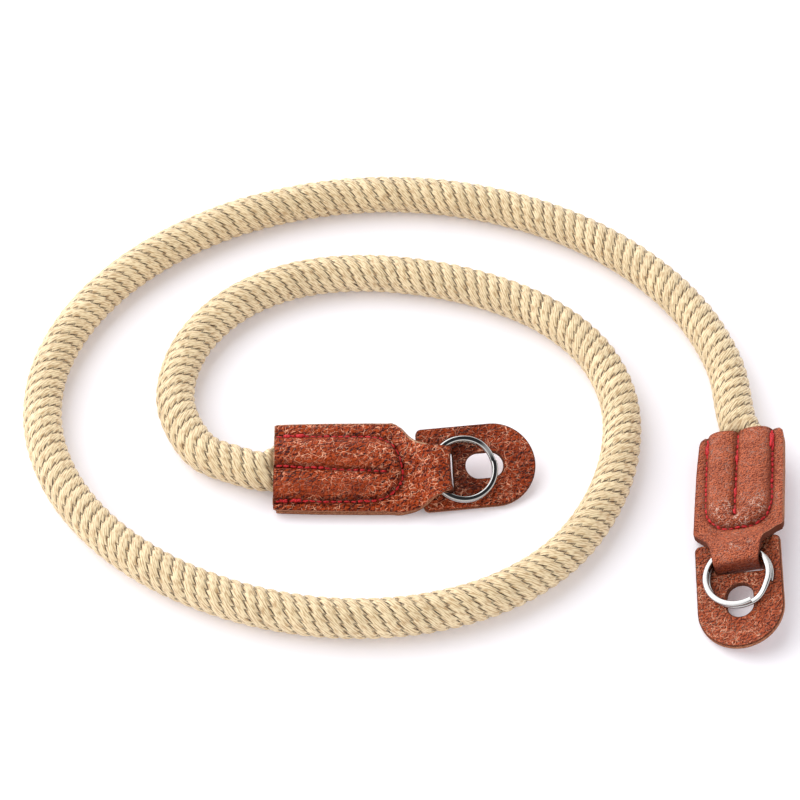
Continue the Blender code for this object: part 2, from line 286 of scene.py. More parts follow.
# %% Helpers for lines and tables
def curve_through(guide, steps):
    """Points on a smooth curve through all points of a guide but its first and last."""
    points = [guide[1]]
    for i in range(1, len(guide) - 2):
        leaving = guide[i] + (guide[i + 1] - guide[i - 1]) / 6.0
        arriving = guide[i + 1] - (guide[i + 2] - guide[i]) / 6.0
        points += interpolate_bezier(guide[i], leaving, arriving, guide[i + 1], steps)[1:]
    return points


def run_along(line):
    """How far along a line each of its points lies."""
    return np.concatenate(([0.0], np.cumsum(np.linalg.norm(np.diff(line, axis=0), axis=1))))


def walk_line(line, step):
    """Points about a step apart along a flat line."""
    run = run_along(line)
    at = np.linspace(0.0, run[-1], round(run[-1] / step) + 1)
    return np.column_stack([np.interp(at, run, line[:, i]) for i in (0, 1)])


def read_off(table, at, column=1):
    """What a column of a table says at a place, which its first column gives."""
    return np.interp(at, table[:, 0], table[:, column])


print("route of", len(ROUTE), "points")

# %% [markdown]
# ## The rope's course
#
# The rope is round between the covers and flattens into two lobes inside them. Its course
# is a dense row of stations: a centre, a leftward and an upward direction, a half width, a
# half height, and how far the section has turned from round to lobed.

# %% The rope's stations
# Distance from the mouth, half width, half height, share of lobes in the section.
ROPE_END = np.array((
    (-5.7, 5.0, 5.0, 0.0), (-4.2, 5.1, 4.9, 0.0), (-2.6, 5.5, 4.4, 0.1),
    (-1.3, 5.8, 3.5, 0.5), (-0.3, 6.2, 2.3, 1.0), (4.0, 7.1, 2.2, 1.0),
    (23.0, 7.3, 2.2, 1.0), (27.0, 6.4, 1.9, 1.0),
))
ROPE_END_DEPTH = 27.0      # how far the rope reaches into a cover
STATION_STEP = 0.25        # between the stations inside a cover
ROUTE_STEPS = 60           # stations between two points of the route


def end_stations(end):
    """Stations of the rope's end, from the round rope to the depth of the cover."""
    rows = []
    for along in np.arange(-ROPE_REACH, ROPE_END_DEPTH, STATION_STEP):
        plane = station(end, along)
        sizes = [read_off(ROPE_END, along, column) for column in (1, 2, 3)]
        left = plane.col[1].xyz if end == "a" else -plane.col[1].xyz
        rows.append((*plane.translation, *left, *plane.col[2].xyz, *sizes))
    return rows if end == "a" else rows[::-1]


def route_stations():
    """Stations of the round rope, on one smooth curve through the route's points."""
    start, stop = (rope_end_matrix(end) for end in ("b", "a"))
    lead = Vector((-ROPE_LEAD, 0.0, 0.0))
    middle = [Vector((x, y, ROPE_RADIUS)) for x, y in ROUTE[1:-1]]
    guide = [start.translation, start @ lead, *middle, stop @ lead, stop.translation]
    points = curve_through(guide, ROUTE_STEPS)
    rows = []
    for i, point in enumerate(points[1:-1], 1):
        forward = (points[i + 1] - points[i - 1]).normalized()
        left = Vector((0.0, 0.0, 1.0)).cross(forward)
        rows.append((*point, *left, 0.0, 0.0, 1.0, ROPE_RADIUS, ROPE_RADIUS, 0.0))
    return rows


stations = np.array(end_stations("b") + route_stations() + end_stations("a"))
reach = run_along(stations[:, :3])
rope_length = reach[-1]
print("rope", round(rope_length, 1), "mm long, of which", ROPE_END_DEPTH, "mm in each cover")

# %% [markdown]
# ## The braid
#
# Seen closely the rope is a lattice of short plump floats of yarn. Fourteen columns of them
# stand around it. In a column they follow each other every 3.25 mm, and each next column
# starts a little further on, so that the floats join into four bands that wind around the
# rope. Each float leans across its band and dives under the next, which saws the bands'
# edges. The height of the surface is that of the highest float at each point.

# %% The height of the braid
COLUMNS = 14
BANDS = 4
FLOAT_PITCH = 3.25                          # along the rope
COLUMN_WIDTH = pi * ROPE_DIAMETER / COLUMNS
COLUMN_STEP = FLOAT_PITCH * BANDS / COLUMNS    # how much further on the next column starts
FLOAT_LEAN = radians(49.0)                  # between a float and the rope's own direction
FLOAT_HALF_LENGTH = 2.9
FLOAT_HALF_WIDTH = 1.33
FLOAT_HEIGHT = 0.85
BRAID_OUTSIDE = 0.06                        # how far the floats stand past the nominal radius


def braid_height(along, around):
    """How far the braid lies below its floats' tops, for points on the unrolled rope."""
    column = np.floor(around / COLUMN_WIDTH)
    best = np.zeros_like(along)
    for beside in (-1, 0, 1):
        middle = (column + beside + 0.5) * COLUMN_WIDTH
        offset = (column + beside) * COLUMN_STEP
        row = np.round((along - offset) / FLOAT_PITCH)
        for ahead in (-1, 0, 1):
            forward = along - offset - (row + ahead) * FLOAT_PITCH
            sideways = around - middle
            lengthwise = forward * cos(FLOAT_LEAN) + sideways * sin(FLOAT_LEAN)
            across = sideways * cos(FLOAT_LEAN) - forward * sin(FLOAT_LEAN)
            fullness = 1.0 - (lengthwise / FLOAT_HALF_LENGTH) ** 2 - (across / FLOAT_HALF_WIDTH) ** 2
            best = np.maximum(best, fullness)
    return (np.sqrt(best) - 1.0) * FLOAT_HEIGHT


print("column", round(COLUMN_WIDTH, 2), "mm wide, next one starts", round(COLUMN_STEP, 2), "mm on")

# %% [markdown]
# ## From a flat grid to a mesh
#
# Rope and leather both start as a flat grid, which is the unrolled rope or the uncut strip. Its
# points are then moved all at once, as rows of numbers, which is far quicker than one by one.

# %% Grids and points
def mesh_from(bm, name):
    """The smooth mesh of a finished bmesh."""
    mesh = bpy.data.meshes.new(name)
    bm.to_mesh(mesh)
    bm.free()
    mesh.shade_smooth()
    return mesh


def placed_mesh(bm, name, place=Matrix()):
    """The mesh of a piece that was made in millimetres, in its place and in metres."""
    bmesh.ops.transform(bm, matrix=place, verts=bm.verts)
    bmesh.ops.scale(bm, verts=bm.verts, vec=(MM, MM, MM))
    return mesh_from(bm, name)


def unrolled_grid(rings, sides):
    """A flat grid from 0 to 1 each way, as a mesh and its points."""
    bm = bmesh.new()
    bmesh.ops.create_grid(bm, x_segments=rings, y_segments=sides, size=0.5)
    bmesh.ops.translate(bm, verts=bm.verts, vec=(0.5, 0.5, 0.0))
    mesh = mesh_from(bm, "grid")
    flat = np.empty(len(mesh.vertices) * 3)
    mesh.vertices.foreach_get("co", flat)
    return mesh, flat.reshape(-1, 3)


def set_points(mesh, points):
    """Put a mesh's points where the rows say, in millimetres."""
    mesh.vertices.foreach_set("co", (np.asarray(points) * MM).ravel())
    mesh.update()


def keep_share(mesh, name, values):
    """Keep a share from 0 to 1 for each point of a mesh, for its finish."""
    layer = mesh.attributes.new(name, "FLOAT", "POINT")
    layer.data.foreach_set("value", np.clip(values, 0.0, 1.0))


def keep_unrolled(mesh, along, around):
    """Keep the unrolled place of each corner as a UV map, in metres."""
    corners = np.empty(len(mesh.loops), dtype=int)
    mesh.loops.foreach_get("vertex_index", corners)
    layer = mesh.uv_layers.new(name="unrolled")
    pairs = np.column_stack((along[corners], around[corners])) * MM
    layer.data.foreach_set("uv", pairs.ravel())


# %% [markdown]
# ## The rope's mesh
#
# The grid's two coordinates become distance along and angle around the rope, and they are
# kept as a UV map, so that the yarn can follow the rope in the finish. The grid's two long
# sides then meet under the rope and are welded. Inside the covers, where nobody looks, the
# rings stand further apart.

# %% Rolling the grid up into a rope
ROPE_SIDES = 52
RING_STEP = 0.375
HIDDEN_RING_STEP = 1.5
HIDDEN_DEPTH = 24.0
WELD = 1e-6                # in metres

# Half of a lobe pair's section: share of the lobe's width, share of its height.
LOBE_SECTION = np.array((
    (0.00, 0.30), (0.12, 0.45), (0.25, 0.78), (0.42, 0.98),
    (0.62, 0.97), (0.78, 0.80), (0.91, 0.48), (1.00, 0.00),
))


def ring_places():
    """Distances along the rope where its rings stand."""
    seen = np.arange(HIDDEN_DEPTH, rope_length - HIDDEN_DEPTH, RING_STEP)
    hidden = np.arange(0.0, HIDDEN_DEPTH, HIDDEN_RING_STEP)
    return np.concatenate((hidden, seen, rope_length - hidden[::-1]))


def rope_surface(along, angle):
    """Points of the braided surface at distances along the rope and angles from its top."""
    at = [np.interp(along, reach, column) for column in stations.T]
    centre, left, up = (np.column_stack(at[i:i + 3]) for i in (0, 3, 6))
    half_width, half_height, lobed = at[9:]
    across = np.sin(angle)
    upward = np.cos(angle)
    lobes = np.sign(upward) * read_off(LOBE_SECTION, np.abs(across))
    relief = braid_height(along, -angle * ROPE_RADIUS) + BRAID_OUTSIDE
    sideways = half_width * across + relief * across
    height = half_height * ((1.0 - lobed) * upward + lobed * lobes) + relief * upward
    points = centre + left * sideways[:, None] + up * height[:, None]
    points[:, 2] = np.maximum(points[:, 2], 0.0)
    return points


def roll_up_rope():
    """The braided rope, closed at both ends."""
    places = ring_places()
    mesh, flat = unrolled_grid(len(places) - 1, ROPE_SIDES)
    along = np.interp(flat[:, 0], np.linspace(0.0, 1.0, len(places)), places)
    angle = (flat[:, 1] - 0.5) * 2.0 * pi
    keep_unrolled(mesh, along, -angle * ROPE_RADIUS)
    set_points(mesh, rope_surface(along, angle))
    bm = bmesh.new()
    bm.from_mesh(mesh)
    bmesh.ops.remove_doubles(bm, verts=bm.verts, dist=WELD)
    bmesh.ops.holes_fill(bm, edges=bm.edges, sides=0)
    bmesh.ops.recalc_face_normals(bm, faces=bm.faces)
    return mesh_from(bm, "braided_rope")


rope_mesh = roll_up_rope()
print("rope mesh", len(rope_mesh.polygons), "faces")

# %% [markdown]
# ## The gaps between the floats
#
# The gaps between the floats are narrow, narrower than the mesh can show, and the shade in
# them is painted into the colour. So the finish finds them with the same sums as the mesh: the
# unrolled place gives the column, and within it the distance to the next gap. Where two
# columns meet, the gap jogs from one float to the next.

# %% Finding the gaps
GAP_HALF_WIDTH = (0.02, 0.085)    # full, gone: shares of the distance between two floats
GAP_FADES_FROM = 0.15        # from the middle of its column, as a share of the width
GAP_AT_SIDE = 0.55           # how strong it still is at the column's side
GAP_CLOUDS = (0.36, 0.60)
GAP_WEAKEST = 0.75           # how strong a gap is outside the clouds
JOG_REACH = COLUMN_WIDTH / tan(FLOAT_LEAN) / FLOAT_PITCH - COLUMN_STEP / FLOAT_PITCH
JOG_BLUR = (0.03, 0.05)      # of its ends, inwards and outwards
JOG_HALF_WIDTH = 0.07        # share of a column's width
JOG_STRENGTH = 0.8
CROOKED = 0.45               # how far a gap strays within a millimetre or two
DRIFTED = 0.8                # and over a centimetre


def find_gaps(mix, unrolled, along, around, drift):
    """How much of a gap there is: a line along each column, and a jog between two columns."""
    crooked = mix.minus(mix.noise(unrolled, 650.0, 2.0, 0.7), 0.5)
    bent = mix.plus(along, mix.times(crooked, CROOKED))
    bent = mix.plus(bent, mix.times(drift, DRIFTED))
    column = mix.math("DIVIDE", around, COLUMN_WIDTH)
    number = mix.math("FLOOR", column)
    inside = mix.minus(mix.minus(column, number), 0.5)
    lean = mix.times(inside, COLUMN_WIDTH / tan(FLOAT_LEAN))
    start = mix.plus(mix.times(number, COLUMN_STEP), lean)
    row = mix.minus(mix.math("DIVIDE", mix.minus(bent, start), FLOAT_PITCH), 0.5)
    past_gap = mix.minus(row, mix.math("ROUND", row))
    off_middle = mix.math("ABSOLUTE", inside)
    in_column = mix.map(mix.math("ABSOLUTE", past_gap), *GAP_HALF_WIDTH, 1.0, 0.0)
    in_column = mix.times(in_column, mix.map(off_middle, GAP_FADES_FROM, 0.5, 1.0, GAP_AT_SIDE))
    before = mix.times(past_gap, mix.math("SIGN", inside))
    inwards, outwards = JOG_BLUR
    jog = mix.times(mix.map(before, -JOG_REACH - outwards, -JOG_REACH + inwards),
                    mix.map(before, -inwards, outwards, 1.0, 0.0))
    jog = mix.times(jog, mix.map(off_middle, 0.5 - JOG_HALF_WIDTH, 0.5))
    strength = mix.map(mix.noise(unrolled, 420.0, 1.0), *GAP_CLOUDS, GAP_WEAKEST, 1.0)
    return mix.times(mix.math("MAXIMUM", in_column, mix.times(jog, JOG_STRENGTH)), strength)


print("a jog spans", round(JOG_REACH, 2), "of the distance between two floats")

# %% [markdown]
# ## The yarn's finish
#
# The yarn is pale straw-coloured cotton with a silky shine. Fine grooves along the float's
# lean part its single yarns, and long thin clouds are its fibres. Colour does most of the
# work, with the shade in the grooves and in the gaps painted in, and a shallow bump lets the
# light catch the same lines.

# %% Mixing the yarn
YARN_SPACING = 0.56
YARN_LEAN = radians(46.0)
YARN_WANDER = 0.8            # how far a yarn strays, in yarns
FIBRE_SLIMNESS = 0.16        # a fibre's width as a share of its length
FIBRES = (0.32, 0.58)
GROOVE_HALF_WIDTH = 0.20     # share of a yarn
GROOVE_CLOUDS = (-0.15, 0.1)
GROOVE_WEAKEST = 0.3         # how strong a groove is outside the clouds
GROOVE_SHADE = 0.65          # how dark its painted shade is
YARN_RELIEF = 0.17           # and the shares of it by which the surface rises or sinks:
FIBRE_RISE, GROOVE_SINK, GAP_SINK = 0.2, 0.5, 1.5
YARN_LIGHT = (0.80, 0.655, 0.41)
YARN_DEEP = (0.48, 0.31, 0.15)
YARN_GAP_SHADE = (0.07, 0.028, 0.007)


def draw_yarns(mix, along, around, drift):
    """Fibres, and the grooves between single yarns, along the floats' lean."""
    lengthwise = mix.plus(mix.times(along, cos(YARN_LEAN)), mix.times(around, sin(YARN_LEAN)))
    across = mix.minus(mix.times(around, cos(YARN_LEAN)), mix.times(along, sin(YARN_LEAN)))
    streaks = mix.add("CombineXYZ", {0: mix.times(lengthwise, FIBRE_SLIMNESS), 1: across}).outputs[0]
    fibre = mix.map(mix.noise(streaks, 3.2, 1.0), *FIBRES)
    wander = mix.times(mix.noise(streaks, 0.8, 1.0), YARN_WANDER)
    yarn = mix.math("PINGPONG", mix.plus(mix.math("DIVIDE", across, YARN_SPACING), wander), 0.5)
    groove = mix.map(yarn, 0.0, GROOVE_HALF_WIDTH, 1.0, 0.0)
    return fibre, mix.times(groove, mix.map(drift, *GROOVE_CLOUDS, GROOVE_WEAKEST, 1.0))


def mix_yarn():
    """The finish of the braid."""
    mix = Finish("braided_yarn")
    unrolled = mix.add("UVMap", uv_map="unrolled").outputs[0]
    parts = mix.add("SeparateXYZ", {0: unrolled})
    along = mix.math("DIVIDE", parts.outputs[0], MM)
    around = mix.math("DIVIDE", parts.outputs[1], MM)
    drift = mix.minus(mix.noise(unrolled, 110.0, 1.0), 0.5)
    gap = find_gaps(mix, unrolled, along, around, drift)
    fibre, groove = draw_yarns(mix, along, around, drift)
    colour = mix.mix(fibre, YARN_DEEP, YARN_LIGHT)
    # Painted shade: the deep tone in the grooves between yarns, and a dark one in the gaps.
    colour = mix.mix(mix.times(groove, GROOVE_SHADE), colour, YARN_DEEP)
    colour = mix.mix(gap, colour, YARN_GAP_SHADE)
    height = mix.minus(mix.times(fibre, FIBRE_RISE), mix.times(groove, GROOVE_SINK))
    height = mix.minus(height, mix.times(gap, GAP_SINK))
    return mix.finish(
        Base_Color=colour, Normal=mix.bump(height, YARN_RELIEF * MM), Roughness=0.42,
        Sheen_Weight=0.1, Sheen_Roughness=0.4)


rope = piece("braided_rope", rope_mesh, "strap", "rope", mix_yarn())
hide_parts("rope", "sewn_rope_end_a", "sewn_rope_end_b")

# %% [markdown]
# ## The leather cover's side view and outline
#
# Each cover is one long strip. It starts at the rope's mouth, runs over the rope's lobes,
# narrows to a neck that climbs over the ring, folds down through the protector's slit and
# runs back underneath to the mouth again. Its outside is therefore one grid: one way along
# the strip, the other way across it. Two short tables give the strip's side view and its
# half width, and a curve through the side view's points rounds off its corners.

# %% The cover's side view
LEATHER = 1.25             # thickness of one layer
COVER_LENGTH = 45.4
COVER_ROW = 0.36           # spacing of the strip's rows
COVER_COLUMNS = 66
SIDE_STEPS = 12            # points of the curve between two of the side view's

# Side view of the upper layer's outside: distance from the mouth, height.
UPPER_SIDE = (
    (0.0, 1.3), (12.0, 1.3), (24.0, 1.3), (30.0, 1.3), (33.0, 1.35), (35.2, 1.6), (36.6, 2.4),
    (37.6, 3.5), (38.8, 4.5), (40.2, 4.85), (42.0, 4.9), (43.6, 4.75), (44.8, 4.1), (45.35, 3.0),
    (45.4, 1.6),
)
# And of the lower layer's, on its way back.
LOWER_SIDE = (
    (45.4, 0.2), (45.2, -1.1), (44.5, -2.05), (43.2, -2.35), (40.5, -2.4), (38.6, -2.3),
    (36.8, -1.85), (35.2, -1.5), (33.0, -1.35), (30.0, -1.3), (24.0, -1.3), (12.0, -1.3), (0.0, -1.3),
)
# Outline: distance from the mouth, half width.
COVER_OUTLINE = np.array((
    (0.0, 11.2), (0.7, 11.5), (12.0, 11.8), (23.0, 11.9), (30.0, 11.9), (31.2, 11.75),
    (32.2, 11.3), (33.2, 10.6), (34.6, 9.7), (36.4, 8.5), (38.2, 7.35), (40.0, 6.6),
    (42.0, 6.2), (45.4, 5.7),
))
# What each cover was cut narrower by: distance from the mouth, on the right, on the left.
TRIMMED = {
    "a": np.array((
        (0.0, 0.2, 0.1), (2.0, 0.0, 0.0), (41.0, 0.0, 0.0), (43.3, 0.5, 0.0), (45.4, 0.4, 0.0),
    )),
    "b": np.array((
        (0.0, 1.9, 1.0), (1.0, 1.1, 0.45), (2.5, 0.75, 0.25), (11.0, 0.5, 0.4), (22.0, 0.4, 0.6),
        (30.0, 0.3, 0.6), (34.0, 0.2, 0.1), (37.0, 0.45, -0.5), (42.0, 0.45, -0.3), (45.4, 0.45, 0.0),
    )),
}


def side_view():
    """The strip's side view, as points a row apart, from the mouth and back to it."""
    guide = [Vector((*corner, 0.0)) for corner in UPPER_SIDE + LOWER_SIDE]
    guide = [2 * guide[0] - guide[1], *guide, 2 * guide[-1] - guide[-2]]
    return walk_line(np.array(curve_through(guide, SIDE_STEPS))[:, :2], COVER_ROW)


cover_side = side_view()
fold_row = int(np.argmax(cover_side[:, 0]))
print("strip of", len(cover_side), "rows, folded at row", fold_row)

# %% [markdown]
# ## Seams and pillows
#
# Three seams hold the rope's end: one down the middle, and one shaped like a U around both
# lobes, whose two sides count as one each. The leather bulges between them like a pillow, so
# its height depends only on how far a point is from the nearest seam. The same seam lines
# later carry the red thread.

# %% Seam lines
SEAMS = {
    "a": {
        "centre": ((0.6, 0.0), (28.7, -1.45)),
        "left": 8.1, "right": -9.1, "bottom": 32.5, "bend": 23.5,
    },
    "b": {
        "centre": ((0.6, -0.35), (27.0, -0.9)),
        "left": 8.25, "right": -8.5, "bottom": 31.05, "bend": 22.5,
    },
}
SEAM_START = 0.4            # from the mouth
BELLY_AT = 12.0             # where the U is widest, and
BELLY = 0.1                 # by how much
BEND_STEP = 7.5             # degrees between two points of the U's bend
SQUARENESS = 2.3            # 2 would bend it in an ellipse


def centre_seam(end):
    """The straight seam between the lobes."""
    return np.array(SEAMS[end]["centre"])


def outer_seam(end):
    """The U-shaped seam, from the mouth on the left round to the mouth on the right."""
    seam = SEAMS[end]
    middle = (seam["left"] + seam["right"]) / 2.0
    half = (seam["left"] - seam["right"]) / 2.0
    depth = seam["bottom"] - seam["bend"]
    line = [(SEAM_START, seam["left"]), (BELLY_AT, seam["left"] + BELLY)]
    for angle in np.radians(np.arange(0.0, 180.0 + BEND_STEP / 2.0, BEND_STEP)):
        square = (abs(cos(angle)) ** SQUARENESS + abs(sin(angle)) ** SQUARENESS) ** (-1.0 / SQUARENESS)
        line.append((seam["bend"] + depth * sin(angle) * square, middle + half * cos(angle) * square))
    line += [(BELLY_AT, seam["right"] - BELLY), (SEAM_START, seam["right"])]
    return np.array(line)


def distance_to_line(points, line):
    """Distance from each point to the nearest stretch of a line."""
    best = np.full(len(points), np.inf)
    for start, stop in zip(line, line[1:]):
        run = stop - start
        share = np.clip((points - start) @ run / (run @ run), 0.0, 1.0)
        gap = np.linalg.norm(points - start - share[:, None] * run, axis=1)
        best = np.minimum(best, gap)
    return best


def inside_seam(points, end):
    """Whether each point lies inside the U-shaped seam."""
    along, across = points.T
    seam = SEAMS[end]
    line = outer_seam(end)[::-1]
    bottom = np.interp(across, line[:, 1], line[:, 0], left=-1.0, right=-1.0)
    return (across < seam["left"] + BELLY) & (across > seam["right"] - BELLY) & (along < bottom)


print("outer seam of end a:", len(outer_seam("a")), "points")

# %% The height of the leather
PILLOW_HEIGHT = 2.55
PILLOW_REACH = 4.3          # distance from a seam at which the leather is at its full height
PILLOW_FLATNESS = 2.2       # of its middle
PILLOW_STEEPNESS = 0.62     # of its rise at a seam, which is steeper the smaller this is
CENTRE_FLOOR = 0.27         # share of the height that is left in the centre seam's groove
MOUTH_SHARE = 0.82          # share of the height at the mouth
MOUTH_REACH = 5.0           # from there to the full height
GROOVE_DEPTH = 0.22
GROOVE_WIDTH = 0.55
PAST_MOUTH = -5.0           # the seams' grooves run on through the mouth
EDGE_PUFF = 0.22            # how much the flange outside the seam swells
FLANGE_WIDTH = 3.6
FLANGE_END = (33.0, 36.0)   # where that swelling fades out


def pillow(distance):
    """A swelling that is steep at a seam and flat in the middle: 0 to 1."""
    left = 1.0 - np.clip(distance / PILLOW_REACH, 0.0, 1.0)
    return (1.0 - left ** PILLOW_FLATNESS) ** PILLOW_STEEPNESS


def leather_height(points, end):
    """How far the leather stands off its flat layer, for points (along, across)."""
    along = points[:, 0]
    outer_line = outer_seam(end)
    outer_line[[0, -1], 0] = PAST_MOUTH
    outer = distance_to_line(points, outer_line)
    centre_line = centre_seam(end)
    centre_line[0, 0] = PAST_MOUTH
    centre = distance_to_line(points, centre_line)
    mouth = MOUTH_SHARE + (1.0 - MOUTH_SHARE) * ease(along, 0.0, MOUTH_REACH)
    over_centre = CENTRE_FLOOR + (1.0 - CENTRE_FLOOR) * pillow(centre)
    lobes = PILLOW_HEIGHT * mouth * np.minimum(over_centre, pillow(outer))
    flange = EDGE_PUFF * np.sin(pi * np.clip(outer / FLANGE_WIDTH, 0.0, 1.0)) * fade(along, *FLANGE_END)
    height = np.where(inside_seam(points, end), lobes, flange)
    near = np.minimum(outer, centre)
    return height - GROOVE_DEPTH * np.exp(-((near / GROOVE_WIDTH) ** 2))


print("the middle of a lobe stands", round(leather_height(np.array([(12.0, 4.2)]), "a")[0], 2), "mm high")

# %% [markdown]
# ## Where the leather is marked
#
# Some marks come from handling: grain cracks where the leather bends, a rim is worn pale, and
# what is rubbed turns dark with oil. Others are painted light and shade: shade along the seams,
# on the turn of the fold and on the cut rim near it, and highlights among the pale marks. The
# colour also darkens towards the rim. A texture would have to be painted for that, but here
# each mark follows from a point's place on the strip. It is a share from 0 to 1, kept on the
# mesh's points, which the finish reads.

# %% The cover's marks
SEAM_SHADE = 0.75           # how far a seam's painted shade reaches
RIM_SHADE = 0.5
FOLD_SHADE = (44.3, 45.3)   # painted shade on the turn of the fold, as dark as at a seam
WORN_RIM = 0.3
WORN_END = 39.0             # the worn rim ends on the neck
WORN = {"a": 0.85, "b": 0.25}           # how pale the upper layer's left rim is worn
NOSE_OILED = {"a": 0.0, "b": 0.22}      # how dark the leather is between its cracks
SHADED_FROM = {"a": (43.0, 45.0), "b": (27.0, 32.0)}    # where the cut rim is painted in shade

# On end a the grain is smooth along the right flank of each lobe, which is turned from the
# light, and cracked elsewhere, so the painted highlights among its pale marks keep to the lit flanks.
LEFT_LOBE_FLANK = (-1.3, -0.5, 1.0, 2.4)
RIGHT_LOBE_FLANK = (-8.9, -8.0, -5.4, -3.6)
FLANK_END = (23.0, 27.0)
FLANK_SMOOTHED = 0.75
# On end b it is cracked across the lobes' nose, and a spot of pale marks on the neck's bend is a painted
# highlight.
NOSE = (21.5, 26.0, 30.0, 31.0)
NOSE_HALF_WIDTH = (6.0, 8.0)
BEND_HIGHLIGHT_AT = (40.6, 1.5)
BEND_HIGHLIGHT_SIZE = (1.2, 3.2)
BEND_HIGHLIGHT_SHARE = 0.7


def cracks_and_highlights_share(places, end):
    """Where the leather has its pale marks, cracked grain and painted highlights: most of end a, and spots
    on end b.
    """
    along, across = places.T
    if end == "a":
        flanks = np.maximum(band(across, *LEFT_LOBE_FLANK), band(across, *RIGHT_LOBE_FLANK))
        return 1.0 - FLANK_SMOOTHED * flanks * fade(along, *FLANK_END)
    nose = band(along, *NOSE) * fade(np.abs(across), *NOSE_HALF_WIDTH)
    off_spot = ((places - BEND_HIGHLIGHT_AT) / BEND_HIGHLIGHT_SIZE) ** 2
    return np.maximum(nose, BEND_HIGHLIGHT_SHARE * np.exp(-off_spot.sum(axis=1)))


def mark_cover(mesh, end, places, to_rim, left_rim):
    """Keep the marks of a cover's points, from their places and their distance to the rim."""
    along = places[:, 0]
    seam_lines = (outer_seam(end), centre_seam(end))
    to_seam = np.minimum(*(distance_to_line(places, line) for line in seam_lines))
    cracks_and_highlights = cracks_and_highlights_share(places, end)
    # The seam share is painted shade, in the seams' grooves and on the turn of the fold.
    keep_share(mesh, "seam", np.maximum(np.exp(-((to_seam / SEAM_SHADE) ** 2)), ease(along, *FOLD_SHADE)))
    keep_share(mesh, "rim", 1.0 - to_rim / RIM_SHADE)
    keep_share(mesh, "cracks_and_highlights", cracks_and_highlights)
    keep_share(mesh, "oil_and_shade", NOSE_OILED[end] * cracks_and_highlights)
    keep_share(mesh, "shaded", ease(along, *SHADED_FROM[end]))
    keep_share(mesh, "worn", WORN[end] * (left_rim & (to_rim < WORN_RIM) & (along < WORN_END)))


print("nose of end b cracked", round(cracks_and_highlights_share(np.array([(28.0, 0.0)]), "b")[0], 2))

# %% [markdown]
# ## Cutting and folding the strip
#
# The grid is bent along the side view, spread to the outline and raised by the pillows. The
# leather is given its thickness by a Solidify modifier that works inwards, which also gives
# the cut rim a finish of its own, and a small Bevel takes the sharpness off that rim.

# %% The cover's mesh
RIM_ROUND = 0.4
RIM_ANGLE = radians(60.0)   # an edge sharper than this is a rim
TABLE_GAP = 0.02            # nothing sinks into the table
SHOULDER = (27.0, 32.0, 35.0, 39.0)     # where the wide part narrows to the neck
# How far the lower layer shows on the left, along the side and at the shoulder.
UNDERLAYER_PROUD = {"a": (0.4, 0.8), "b": (-0.3, -0.7)}
UNDERLAYER_SHORT = 0.7      # how much further in the lower layer starts at the mouth
UNDERLAYER_BLEND = 6.0      # and where it has caught up with the upper one
# The fold's front: its shift, its slant (per mm across) and how far its corners stand forward.
FOLD_FRONT = {"a": (-0.80, 0.055, 0.6), "b": (-0.12, -0.03, 0.35)}
FOLD_START = 39.9
FOLD_HALF_WIDTH = 5.5
GRAIN_SIDE, CUT_SIDE, PAINTED_SHADE_SIDE = 0, 1, 2    # the numbers of a leather piece's three finishes


def cover_point(end, along, across, height):
    """A place on a cover, in millimetres in the frame."""
    slide = ENDS[end]["slide"] * float(ease(along, TURN_START, PROTECTOR_START))
    shift, slant, corner = FOLD_FRONT[end]
    at_fold = float(ease(along, FOLD_START, COVER_LENGTH))
    forward = shift + slant * across + corner * min(abs(across) / FOLD_HALF_WIDTH, 1.0) ** 4
    return station(end, along) @ Vector((at_fold * forward, across + slide, height))


def cover_surface(end, along, across, side=1.0):
    """A point on the outside of a cover's upper (side 1) or lower (side -1) layer."""
    rows = slice(0, fold_row) if side > 0 else slice(None, fold_row, -1)
    rise = leather_height(np.array([(along, across)]), end)[0]
    return cover_point(end, along, across, read_off(cover_side[rows], along) + side * rise)


def cut_half_width(end, along, share):
    """Half the strip's width as it was cut, on its left where the share is above 0."""
    trimmed = np.where(share < 0, read_off(TRIMMED[end], along, 1), read_off(TRIMMED[end], along, 2))
    return read_off(COVER_OUTLINE, along) - trimmed


def underlayer_proud(end, along):
    """How far the lower layer's left rim lies past the upper one's."""
    at_side, at_shoulder = UNDERLAYER_PROUD[end]
    proud = at_side + (at_shoulder - at_side) * band(along, *SHOULDER)
    return proud * fade(along, *SHOULDER[2:])


def fold_cover(end):
    """The whole strip of a cover, as one bent sheet without thickness."""
    last_row = len(cover_side) - 1
    mesh, flat = unrolled_grid(last_row, COVER_COLUMNS)
    row = np.rint(flat[:, 0] * last_row).astype(int)
    side = np.where(row <= fold_row, 1.0, -1.0)
    share = flat[:, 1] * 2.0 - 1.0
    along = cover_side[row, 0]
    along = along + np.where(side < 0, UNDERLAYER_SHORT * fade(along, 0.0, UNDERLAYER_BLEND), 0.0)
    half_width = cut_half_width(end, along, share)
    proud = underlayer_proud(end, along) * (side < 0) * np.clip(share, 0.0, 1.0)
    places = np.column_stack((along, share * half_width + proud))
    height = cover_side[row, 1] + side * leather_height(places, end)
    points = np.array([cover_point(end, *place, rise) for place, rise in zip(places, height)])
    points[:, 2] = np.maximum(points[:, 2], TABLE_GAP)
    set_points(mesh, points)
    to_rim = np.minimum(half_width * (1.0 - np.abs(share)), along)
    mark_cover(mesh, end, places, to_rim, (side > 0) & (share > 0))
    return mesh


